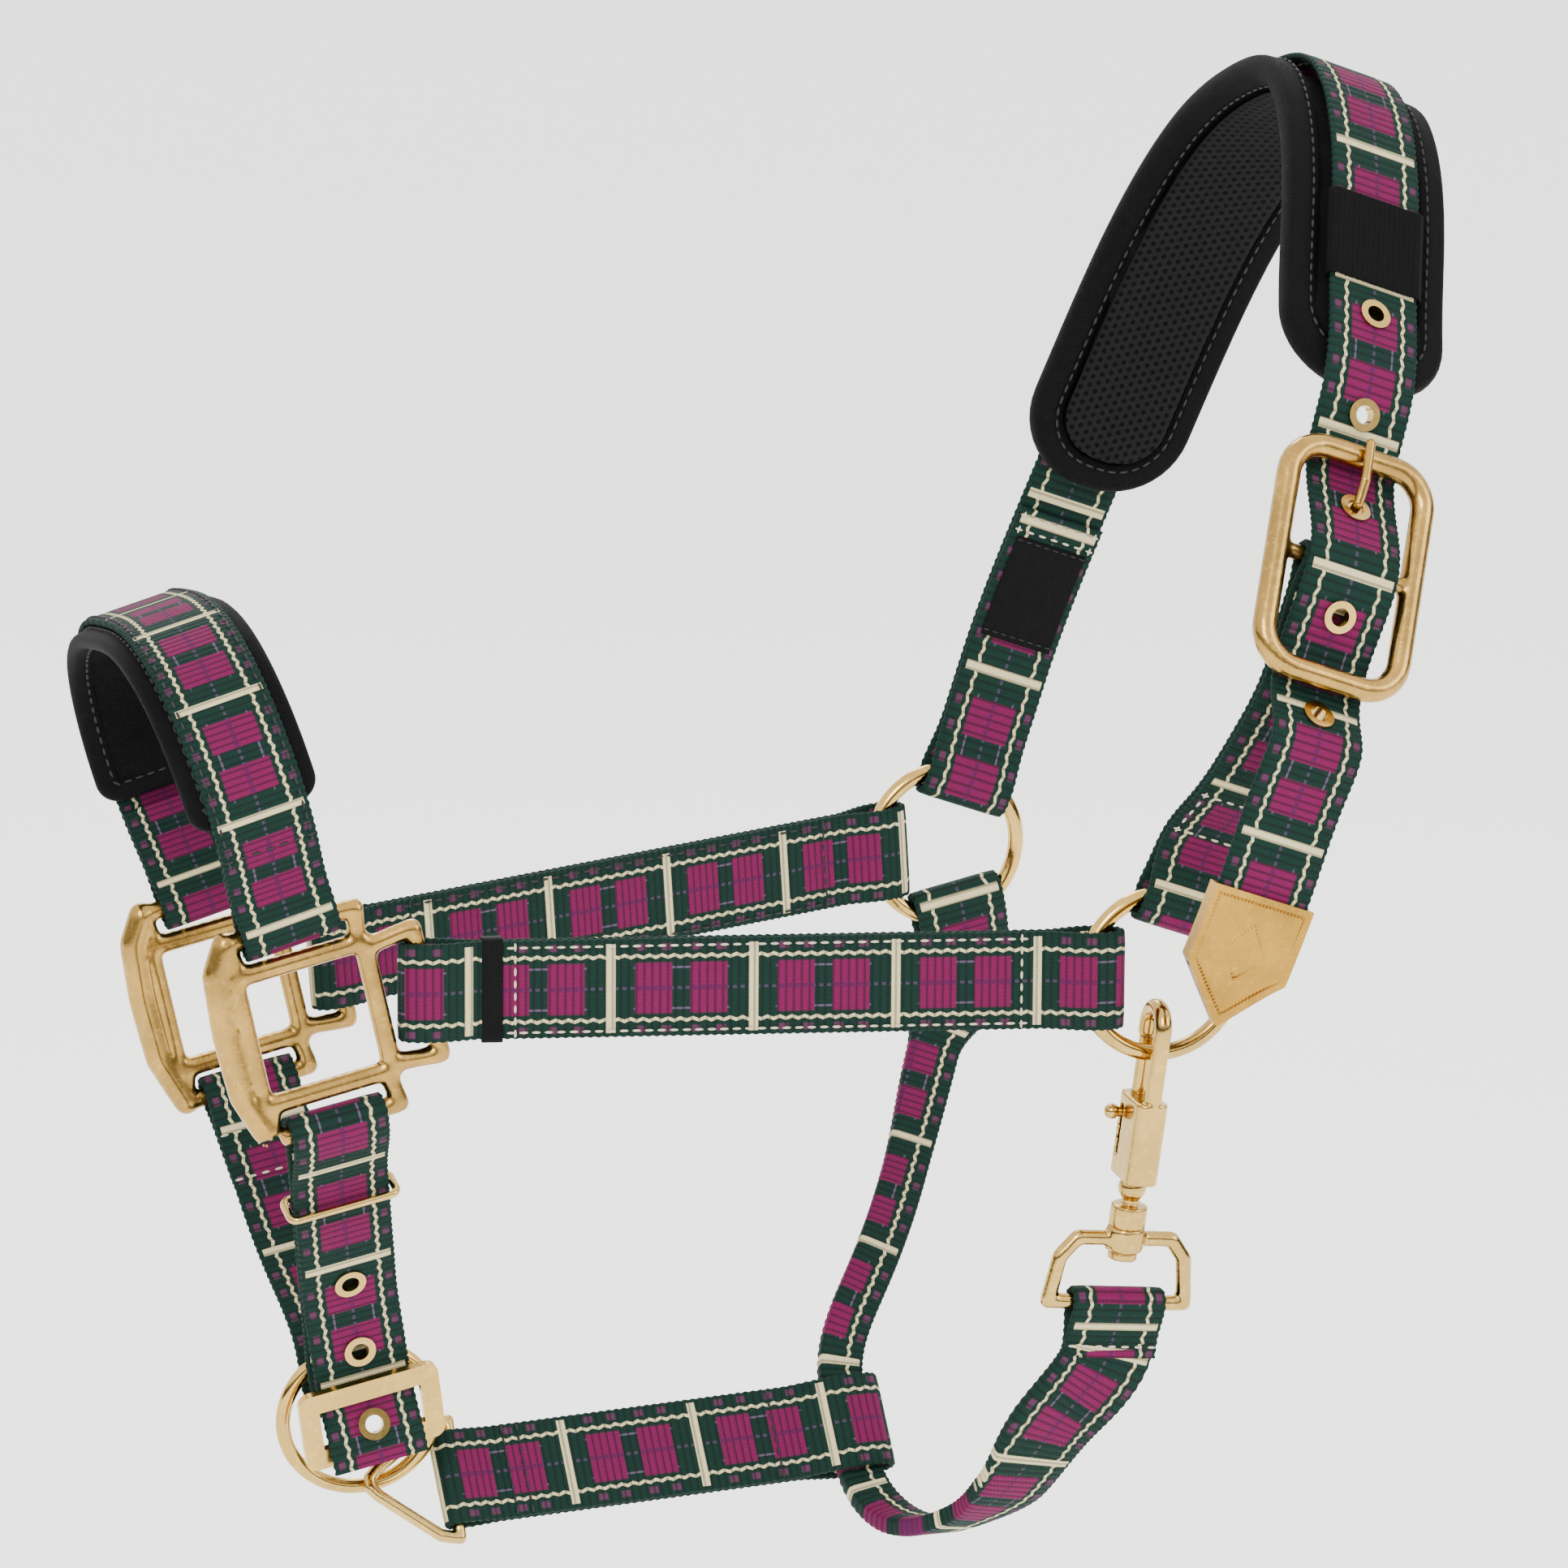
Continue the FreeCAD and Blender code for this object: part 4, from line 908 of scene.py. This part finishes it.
class HC_OT_chin(bpy.types.Operator):
    """Chin strap in one run round the lead ring and through its slide"""
    bl_idname = "headcollar.chin"
    bl_label = "Chin strap"

    def execute(self, context):
        m = tools()
        plane, path, far_bar, far_way = chin_line()
        side = np.array([-far_way[1], far_way[0]])
        start = fold(far_bar + far_way * 0.9, far_way, BAR_R + 0.35, 1.8, 9.1, side=1)
        hem = [far_bar + far_way * x + side * WEB_T for x in np.linspace(24, 12, 4)]
        route = hem + start[1:-1] + [path.at(s) for s in np.linspace(3, path.length, 190)]
        line = Path(cubic(route, per=6))
        obj = ribbon("chin_webbing", plane.at(line.at(even(line))), plane.z, u_start=20.0)
        dress(obj, m["webbing"], "cheeks", "webbing", "chin_strap")
        punch(obj, plane, path, [path.length - 10.0 - k * 20.5 for k in (2, 1, 0)])
        chains = []
        for s in (12.0, 24.0):
            p = path.off(np.array([s - 10]), -WEB_T / 2 - 0.1)[0]
            chains.append(plane.at([(p[0], p[1], z) for z in np.linspace(-10.4, 10.4, 12)]))
        stitches("chin_stitches", chains, m["cream_thread"], "cheeks")
        return {"FINISHED"}


def jaw_frame():
    left, right = np.array([-157.0, -2.0, -135.0]), np.array([-56.0, 0, -131.2])
    roll = math.radians(32.0)
    return Plane(left, right - left, (0, math.sin(roll), math.cos(roll))), np.linalg.norm(right - left)


class HC_OT_jaw(bpy.types.Operator):
    """Jaw strap, doubled between the wire link and the throat strap"""
    bl_idname = "headcollar.jaw"
    bl_label = "Jaw strap"

    def execute(self, context):
        m = tools()
        plane, run = jaw_frame()
        n_half = WEB_T / 2 + 0.02
        xs = np.linspace(11, run - 13, 24)
        route = [np.array([x, n_half]) for x in xs]
        route += fold((run, 0), (-1, 0), 3.7, 7.6, 12.0, side=-1)[1:-1]
        route += [np.array([x, -n_half]) for x in xs[::-1]]
        route += fold((1.0, 0), (1, 0), 1.85, 2.0, 9.0, side=-1)[1:-1]
        obj = ribbon("jaw_webbing", plane.at(loop_points(route)), plane.z, closed=True, u_start=12.0)
        dress(obj, m["webbing"], "cheeks", "webbing", "jaw_strap")
        chains = []
        for gap in (n_half * 2 + 0.1, -n_half * 2 - 0.1):
            for x in (14.0, 18.0, run - 17):
                chains.append(plane.at([(x, gap, z) for z in np.linspace(-10.6, 10.6, 14)]))
        stitches("jaw_stitches", chains, m["black_thread"], "cheeks")
        return {"FINISHED"}


class HC_OT_throat(bpy.types.Operator):
    """Throat strap, folded lengthwise where it passes through the jaw strap"""
    bl_idname = "headcollar.throat"
    bl_label = "Throat strap"

    def execute(self, context):
        m = tools()
        jaw, run = jaw_frame()
        drop = math.radians(-78.0)
        way0 = np.array([math.cos(drop), 0, math.sin(drop)])
        axis = unit(SNAP_AXIS)
        far = np.array([0, HALF, 0])
        base = np.array([-2.1, -HALF, -RING_R]) - axis * 64.0
        thread = jaw.at((run + 3.8, 0, 0))[0]
        way = -jaw.z
        stations = [(far + way0 * (RING_R + 11.0), 23.4, 3.4), ((0.5, 73.5, -39), 22.5, 3.7),
                    ((-9, 63, -52), 13.5, 4.8), ((-24, 42, -78), 11.5, 4.8), ((-41, 21.5, -99.5), 11.5, 4.8),
                    (thread - way * 13, 11.2, 4.8), (thread, 11.2, 4.8), (thread + way * 13, 11.2, 4.8),
                    ((-46.5, -23, -150.0), 11.5, 4.8), ((-37, -42, -144.4), 13.0, 4.7),
                    ((-29.5, -56.5, -133), 19.5, 4.2), ((-22.5, -68.5, -114), 23.4, 3.6),
                    (base - axis * 10.0, 23.4, 3.4)]
        knots = [np.asarray(p, float) for p, w, t in stations]
        path = Path(cubic(knots, way0, axis))
        s = even(path)
        marks = np.array([path.near(p) for p in knots])

        def eased(values):
            k = np.clip(np.searchsorted(marks, s, side="right") - 1, 0, len(marks) - 2)
            f = np.clip((s - marks[k]) / (marks[k + 1] - marks[k]), 0, 1)
            f = f * f * (3 - 2 * f)
            v = np.array(values)
            return v[k] + (v[k + 1] - v[k]) * f

        w, t = eased([a[1] for a in stations]), eased([a[2] for a in stations])
        obj = ribbon("throat_webbing", path.at(s), (1, 0, 0), w, t, u_start=7.7, shift=(1 - w / WEB_W) * 0.5)
        dress(obj, m["webbing"], "cheeks", "webbing", "throat_strap")
        at_ring = Plane(far, -way0, np.array([-way0[2], 0, way0[0]]))
        at_dee = Plane(base, axis, (1, 0, 0))
        for name, plane, c, e, r, gap, tip in (
                ("throat_ring_fold", at_ring, (-RING_R, 0), (-1, 0), EYE_R, EYE_RUN, 9.0),
                ("throat_dee_fold", at_dee, (0, 0), (-1, 0), 2.1, 0.0, 9.0)):
            route = fold(c, e, r, gap, tip, side=1)
            c, e = np.array(c, float), np.array(e, float)
            n = np.array([-e[1], e[0]])
            route = [c + e * (tip + 5) + n * WEB_T / 2] + route + [c + e * (tip + 5) - n * WEB_T / 2]
            line = Path(cubic(route, per=12))
            piece = ribbon(name, plane.at(line.at(even(line))), plane.z, u_start=3.6)
            dress(piece, m["webbing"], "cheeks", "webbing")
            x = c + e * (tip + 2)
            stitches(name + "_stitches", [plane.at([(x[0], g, z) for z in np.linspace(-10.4, 10.4, 14)])
                                          for g in (WEB_T + 0.1, -WEB_T - 0.1)], m["cream_thread"], "cheeks")
        return {"FINISHED"}


# ------------------------------------------------------------------ pads, keeper and label
def slab(name, plane, path, s0, s1, lo, hi, width, radius, step=3.0):
    """Closed slab beside a path with rounded ends, its grid following the path."""
    count = int((s1 - s0) / step) + 1
    rows = []
    for s in np.linspace(s0, s1, count):
        inset = min(s - s0, s1 - s)
        half = width / 2
        if inset < radius:
            half = width / 2 - radius + math.sqrt(max(0.0, radius ** 2 - (radius - inset) ** 2))
        half = max(half, 2.0)
        a, b = path.off(np.array([s]), lo)[0], path.off(np.array([s]), hi)[0]
        zs = np.linspace(-half, half, 11)
        rows.append([(a[0], a[1], z) for z in zs] + [(b[0], b[1], z) for z in zs[::-1]])
    m = len(rows[0])
    verts = plane.at(np.array(rows).reshape(-1, 3))
    faces = [(i * m + k, i * m + (k + 1) % m, (i + 1) * m + (k + 1) % m, (i + 1) * m + k)
             for i in range(count - 1) for k in range(m)]
    faces += [tuple(range(m)), tuple((count - 1) * m + k for k in range(m))]
    return mesh_object(name, world(verts), faces)


def swell(obj, settings, voxel=0.004):
    """Cloth with pressure fills the pad; no point moves further than the cap."""
    for other in bpy.context.selected_objects:
        other.select_set(False)
    remesh = obj.modifiers.new("remesh", "REMESH")
    remesh.mode, remesh.voxel_size = "VOXEL", voxel
    bpy.context.view_layer.update()
    obj.data = bpy.data.meshes.new_from_object(obj.evaluated_get(bpy.context.evaluated_depsgraph_get()))
    obj.modifiers.clear()
    rest = np.array([v.co for v in obj.data.vertices])
    cloth = obj.modifiers.new("cloth", "CLOTH")
    cloth.settings.use_pressure = True
    cloth.settings.uniform_pressure_force = settings.pressure
    cloth.settings.effector_weights.gravity = 0
    scene = bpy.context.scene
    for k in range(1, 21):
        scene.frame_set(k)
    grown = obj.evaluated_get(bpy.context.evaluated_depsgraph_get()).to_mesh()
    moved = np.array([v.co for v in grown.vertices]) - rest
    obj.modifiers.clear()
    scene.frame_set(1)
    far = np.linalg.norm(moved, axis=1, keepdims=True)
    moved *= np.minimum(1.0, settings.swell / np.maximum(far, 1e-9))
    obj.data.vertices.foreach_set("co", (rest + moved).ravel())
    smooth = obj.modifiers.new("smooth", "SUBSURF")
    smooth.levels = smooth.render_levels = 1
    bpy.context.view_layer.update()
    obj.data = bpy.data.meshes.new_from_object(obj.evaluated_get(bpy.context.evaluated_depsgraph_get()))
    obj.modifiers.clear()
    obj.data.polygons.foreach_set("use_smooth", [True] * len(obj.data.polygons))
    return obj


def outline(path, s0, s1, width, radius, gap, step=2.0):
    """Closed route round a pad's edge: (x, y, z) in the path's plane."""
    half = width / 2
    flat = [(s, -half) for s in np.arange(s0 + radius, s1 - radius, step)]
    flat += [(s1 - radius + radius * math.sin(a), -half + radius - radius * math.cos(a) + 0.0)
             for a in np.linspace(0, math.pi / 2, 12)]
    flat += [(s1, z) for z in np.arange(-half + radius + 1, half - radius, step)]
    flat += [(s1 - radius + radius * math.cos(a), half - radius + radius * math.sin(a))
             for a in np.linspace(0, math.pi / 2, 12)]
    flat += [(s, half) for s in np.arange(s1 - radius, s0 + radius, -step)]
    flat += [(s0 + radius - radius * math.sin(a), half - radius + radius * math.cos(a))
             for a in np.linspace(0, math.pi / 2, 12)]
    flat += [(s0, z) for z in np.arange(half - radius - 1, -half + radius, -step)]
    flat += [(s0 + radius - radius * math.cos(a), -half + radius - radius * math.sin(a))
             for a in np.linspace(0, math.pi / 2, 12)]
    keep = [flat[0]]
    for p in flat[1:]:
        if math.hypot(p[0] - keep[-1][0], p[1] - keep[-1][1]) > 0.6:
            keep.append(p)
    if math.hypot(keep[0][0] - keep[-1][0], keep[0][1] - keep[-1][1]) < 0.6:
        keep.pop()
    out = []
    for s, z in keep:
        p = path.off(np.array([s]), gap)[0]
        out.append((p[0], p[1], z))
    return np.array(out)


def binding(name, plane, path, s0, s1, width, radius, lo, hi, wrap):
    """Folded edge binding: a soft U section that wraps the pad's edge."""
    mid = outline(path, s0, s1, width, radius, (lo + hi) / 2)
    low = outline(path, s0, s1, width, radius, lo)
    n = len(mid)
    pts = plane.at(mid)
    through = pts - plane.at(low)
    through /= np.linalg.norm(through, axis=1, keepdims=True)
    d = np.roll(pts, -1, axis=0) - np.roll(pts, 1, axis=0)
    d /= np.linalg.norm(d, axis=1, keepdims=True)
    out = np.cross(d, through)
    centre = pts.mean(axis=0)
    if np.sum(out * (pts - centre)) < 0:
        out = -out
    half = (hi - lo) / 2
    sec = []
    for a in np.linspace(-math.pi / 2, math.pi / 2, 9):
        sec.append((math.cos(a) * 2.0, math.sin(a) * (half + 0.35)))
    sec += [(-wrap * 0.5, half + 0.6), (-wrap, half + 0.25), (-wrap - 0.2, half - 1.0)]
    sec += [(-wrap - 0.2, 1.0 - half), (-wrap, -half - 0.25), (-wrap * 0.5, -half - 0.6)]
    sec = np.array(sec)
    verts = pts[:, None] + out[:, None] * (sec[None, :, :1] - 1.8) + through[:, None] * sec[None, :, 1:]
    verts = verts.reshape(-1, 3)
    m = len(sec)
    faces = [(i * m + k, i * m + (k + 1) % m, ((i + 1) % n) * m + (k + 1) % m, ((i + 1) % n) * m + k)
             for i in range(n) for k in range(m)]
    return mesh_object(name, world(verts), faces), pts, out, through, half


class HC_OT_pads(bpy.types.Operator):
    """Poll pad with its binding and perforated lining, and the noseband's padding"""
    bl_idname = "headcollar.pads"
    bl_label = "Pads"

    def execute(self, context):
        m, sizes = tools(), context.scene.hc_pads
        lo, hi = PAD_GAP, PAD_GAP + PAD_T
        pad = slab("poll_pad_body", CROWN, CROWN_PATH, PAD_0 + 3, PAD_1 - 3, lo + 2.0, hi - 1.4,
                   PAD_W - 8, 17.0)
        swell(pad, sizes)
        dress(pad, m["pad_cloth"], "crown", "pad_cloth", "poll_pad")
        edge, pts, out, through, half = binding("poll_pad_binding", CROWN, CROWN_PATH, PAD_0 + 0.5,
                                                PAD_1 - 0.5, PAD_W, 20.0, lo + 1.2, hi - 1.0, 6.0)
        dress(edge, m["binding"], "crown", "pad_cloth")
        chains = [pts - out * 6.0 + through * (sign * (half + 0.75)) for sign in (-1, 1)]
        rounds = [np.vstack([c, c[:1]]) for c in chains]
        stitches("poll_pad_stitches", rounds, m["black_thread"], "crown", 3.2, 2.3)
        s = np.arange(PAD_0 + 9, PAD_1 - 9, 1.0)
        span = np.minimum(s - s[0], s[-1] - s)
        wide = PAD_W - 16 - 24 + 2 * np.sqrt(np.maximum(0.0, 12.0 ** 2 - np.maximum(0.0, 12.0 - span) ** 2))
        skin = ribbon("pad_mesh_skin", CROWN.at(CROWN_PATH.off(s, hi + 0.5)), CROWN.z,
                      np.maximum(wide, 5.0), 0.7, selvedge=0.0)
        dress(skin, m["pad_mesh"], "crown", "pad_mesh", "pad_lining")
        plane, path, t0, t1, ends = nose_line()
        lo, hi = -WEB_T / 2 - 5.4, -WEB_T / 2 - 0.4
        soft = slab("noseband_padding", plane, path, 20, path.length - 20, lo + 0.9, hi - 0.3, WEB_W + 5, 5.0)
        swell(soft, sizes, 0.002)
        dress(soft, m["nose_lining"], "cheeks", "nose_lining", "noseband_pad")
        edge, pts, out, through, half = binding("noseband_binding", plane, path, 20.3, path.length - 20.3,
                                                WEB_W + 8, 6.0, lo + 0.8, hi - 0.8, 3.6)
        dress(edge, m["binding"], "cheeks", "nose_lining")
        chains = [pts - out * 4.0 + through * (sign * (half + 0.7)) for sign in (-1, 1)]
        rounds = [np.vstack([c, c[:1]]) for c in chains]
        stitches("noseband_pad_stitches", rounds, m["black_thread"], "cheeks", 3.0)
        return {"FINISHED"}


class HC_OT_keeper(bpy.types.Operator):
    """Elastic keeper over the crown strap, and the sewn label"""
    bl_idname = "headcollar.keeper"
    bl_label = "Keeper and label"

    def execute(self, context):
        m = tools()
        s = CROWN_PATH.near((-57, 183))
        c, d = CROWN_PATH.at(s), CROWN_PATH.way(s)
        n = np.array([-d[1], d[0]])
        loop = [(-1.75, z) for z in np.linspace(-11.6, 11.6, 9)] + [(-0.2, 12.85)]
        loop += [(1.35, z) for z in np.linspace(11.6, -11.6, 9)] + [(-0.2, -12.85)]
        ring = loop_points(loop, 0.8)
        pts = CROWN.at([(*(c + n * a), z) for a, z in ring])
        across = CROWN.at(c + d)[0] - CROWN.at(c)[0]
        band = ribbon("elastic_keeper", pts, across, 25.0, 0.8, True, selvedge=0.05)
        dress(band, m["elastic"], "crown", "elastic", "pad_keeper")
        s = np.arange(26.5, 55, 0.8)
        label = ribbon("blank_label", CROWN.at(CROWN_PATH.off(s, WEB_T * 1.5 + 0.34)), CROWN.z, 20.0, 0.4,
                       selvedge=0.02)
        dress(label, m["label_cloth"], "crown", "label_cloth", "sewn_label")
        chains = []
        for x in (28.0, 53.5):
            p = CROWN_PATH.off(np.array([x]), WEB_T * 1.5 + 0.6)[0]
            chains.append(CROWN.at([(p[0], p[1], z) for z in np.linspace(-9, 9, 14)]))
        stitches("label_stitches", chains, m["black_thread"], "crown", 2.4, 1.7, 0.22)
        return {"FINISHED"}


def cast(node, body, material, slot, voxel, rounds, spread):
    """A cast piece: the CAD solid with its corners flowed together and its joints filleted."""
    source = frame["nodes"][node]
    obj = bpy.data.objects.new(node + "_casting", source.data.copy())
    bpy.context.collection.objects.link(obj)
    remesh = obj.modifiers.new("remesh", "REMESH")
    remesh.mode, remesh.voxel_size = "VOXEL", voxel
    relax = obj.modifiers.new("relax", "SMOOTH")
    relax.factor, relax.iterations = 0.5, rounds
    grow = obj.modifiers.new("grow", "DISPLACE")
    grow.mid_level, grow.strength = 0.0, spread
    bpy.context.view_layer.update()
    done = bpy.data.meshes.new_from_object(obj.evaluated_get(bpy.context.evaluated_depsgraph_get()))
    obj.modifiers.clear()
    obj.data = done
    done.polygons.foreach_set("use_smooth", [True] * len(done.polygons))
    return dress(obj, material, body, slot, node)


def bolt_coil(material):
    """The spring inside the hook, copied from the CAD part with its steel finish; its foot and length are
    found, but the coil is not pressed down by the bolt.
    """
    coil = bpy.data.objects.new("bolt_coil", frame["nodes"]["bolt_spring"].data.copy())
    bpy.context.collection.objects.link(coil)
    dress(coil, material, "snap", "spring_steel", "bolt_spring")
    way = unit(SNAP_AXIS)
    points = np.array([v.co for v in coil.data.vertices])
    heights = points @ way
    long = heights.max() - heights.min()
    middle = points.mean(axis=0)
    foot = middle + way * (heights.min() - middle @ way)
    1.0 - BOLT_TRAVEL / 1000 / long
    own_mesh(coil)


class HC_OT_brass(bpy.types.Operator):
    """Finish for the rings, squares, buckle, hook and the small fittings"""
    bl_idname = "headcollar.brass"
    bl_label = "Metalwork"

    def execute(self, context):
        m = tools()
        slots = {part["node"]: part["material_slot"] for part in frame["record"]["subparts"]}
        for node, body, voxel, rounds, spread in (
                ("near_square", "cheeks", 0.0006, 30, 0.0004), ("far_square", "cheeks", 0.0006, 30, 0.0004),
                ("snap_dee", "cheeks", 0.0004, 26, 0.00025), ("snap_hook", "snap", 0.0003, 8, 0.00015),
                ("buckle_frame", "buckle", 0.0006, 10, 0.0003), ("jaw_link", "link", 0.0004, 10, 0.00015)):
            cast(node, body, m[slots[node]], slots[node], voxel, rounds, spread)
        bolt_coil(m["spring_steel"])
        for name, obj in frame["nodes"].items():
            if obj.hide_render or slots[name] not in m:
                continue
            obj.data.materials.clear()
            obj.data.materials.append(m[slots[name]])
        return {"FINISHED"}


class HC_OT_stage(bpy.types.Operator):
    """Pale floor, soft light and the camera"""
    bl_idname = "headcollar.stage"
    bl_label = "Stage"

    def execute(self, context):
        s = context.scene.hc_stage
        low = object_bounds()[0]
        floor_z = low[2] - 0.20
        profile = [(-9.0, 0.0), (3.0, 0.0)] + [(3.0 + 1.5 * math.sin(a), 1.5 - 1.5 * math.cos(a))
                                               for a in np.linspace(0.1, math.pi / 2, 12)] + [(4.5, 6.0)]
        verts = [(x, y, floor_z + z) for x in (-9.0, 9.0) for y, z in profile]
        n = len(profile)
        faces = [(k, k + 1, n + k + 1, n + k) for k in range(n - 1)]
        floor = mesh_object("floor", verts, faces)
        sh = Shade("floor")
        floor.data.materials.append(sh.finish(Base_Color=rgb((252, 252, 251)), Roughness=0.9,
                                              Emission_Color=(1.0, 1.0, 0.995, 1.0), Emission_Strength=0.42))
        floor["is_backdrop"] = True
        world_ = bpy.data.worlds.new("soft")
        world_.use_nodes = True
        tree = world_.node_tree
        coord, parts = tree.nodes.new("ShaderNodeTexCoord"), tree.nodes.new("ShaderNodeSeparateXYZ")
        bands, ramp = tree.nodes.new("ShaderNodeMath"), tree.nodes.new("ShaderNodeValToRGB")
        bands.operation = "MULTIPLY_ADD"
        bands.inputs[1].default_value, bands.inputs[2].default_value = 0.5, 0.5
        tree.links.new(coord.outputs["Generated"], parts.inputs[0])
        tree.links.new(parts.outputs[2], bands.inputs[0])
        tree.links.new(bands.outputs[0], ramp.inputs[0])
        tree.links.new(ramp.outputs[0], tree.nodes["Background"].inputs[0])
        for k, (at, level) in enumerate(((0.0, 0.5), (0.38, 0.03), (0.56, 0.04), (0.66, 1.0), (1.0, 1.0))):
            stop = ramp.color_ramp.elements[k] if k < 2 else ramp.color_ramp.elements.new(at)
            stop.position, stop.color = at, (level, level, level * 0.985, 1)
        tree.nodes["Background"].inputs[1].default_value = 2.1
        context.scene.world = world_
        target = Vector(world((-61.4, 26.4, 30.0)))
        for name, at, size, power in (("key", (-0.9, -1.7, 1.3), 0.9, 30.0),
                                      ("fill", (1.6, -1.2, 0.7), 1.0, 13.0),
                                      ("back", (0.3, 1.3, 1.2), 0.8, 16.0)):
            data = bpy.data.lights.new(name, "AREA")
            data.size, data.energy = size, power
            lamp = bpy.data.objects.new(name, data)
            lamp.location = target + Vector(at)
            lamp.rotation_euler = (target - lamp.location).to_track_quat("-Z", "Y").to_euler()
            bpy.context.collection.objects.link(lamp)
        a, e = math.radians(s.azimuth), math.radians(s.elevation)
        back = Vector((math.sin(a) * math.cos(e), -math.cos(a) * math.cos(e), math.sin(e)))
        data = bpy.data.cameras.new("camera")
        data.lens, data.sensor_width = s.lens, 36.0
        camera = bpy.data.objects.new("camera", data)
        camera.location = target + back * s.distance
        camera.rotation_euler = (-back).to_track_quat("-Z", "Y").to_euler()
        bpy.context.collection.objects.link(camera)
        context.scene.camera = camera
        return {"FINISHED"}


OPERATORS = (HC_OT_stage, HC_OT_crown, HC_OT_billet, HC_OT_cheeks, HC_OT_noseband, HC_OT_chin, HC_OT_jaw,
             HC_OT_throat, HC_OT_pads, HC_OT_keeper, HC_OT_brass)


class HC_PT_panel(bpy.types.Panel):
    """The headcollar's pieces"""
    bl_idname = "HC_PT_panel"
    bl_label = "Headcollar"
    bl_space_type = "VIEW_3D"
    bl_region_type = "UI"
    bl_category = "Headcollar"

    def draw(self, context):
        for group in (context.scene.hc_straps, context.scene.hc_pads, context.scene.hc_stage):
            for key in group.__annotations__:
                self.layout.prop(group, key)
        for operator in OPERATORS:
            self.layout.operator(operator.bl_idname)


CLASSES = (StrapSettings, PadSettings, StageSettings, *OPERATORS, HC_PT_panel)


def register():
    for cls in CLASSES:
        bpy.utils.register_class(cls)
    bpy.types.Scene.hc_straps = bpy.props.PointerProperty(type=StrapSettings)
    bpy.types.Scene.hc_pads = bpy.props.PointerProperty(type=PadSettings)
    bpy.types.Scene.hc_stage = bpy.props.PointerProperty(type=StageSettings)


def unregister():
    del bpy.types.Scene.hc_straps, bpy.types.Scene.hc_pads, bpy.types.Scene.hc_stage
    for cls in reversed(CLASSES):
        bpy.utils.unregister_class(cls)


def main():
    register()
    for operator in OPERATORS:
        group, name = operator.bl_idname.split(".")
        getattr(getattr(bpy.ops, group), name)()


if __name__ == "__main__":
    main()
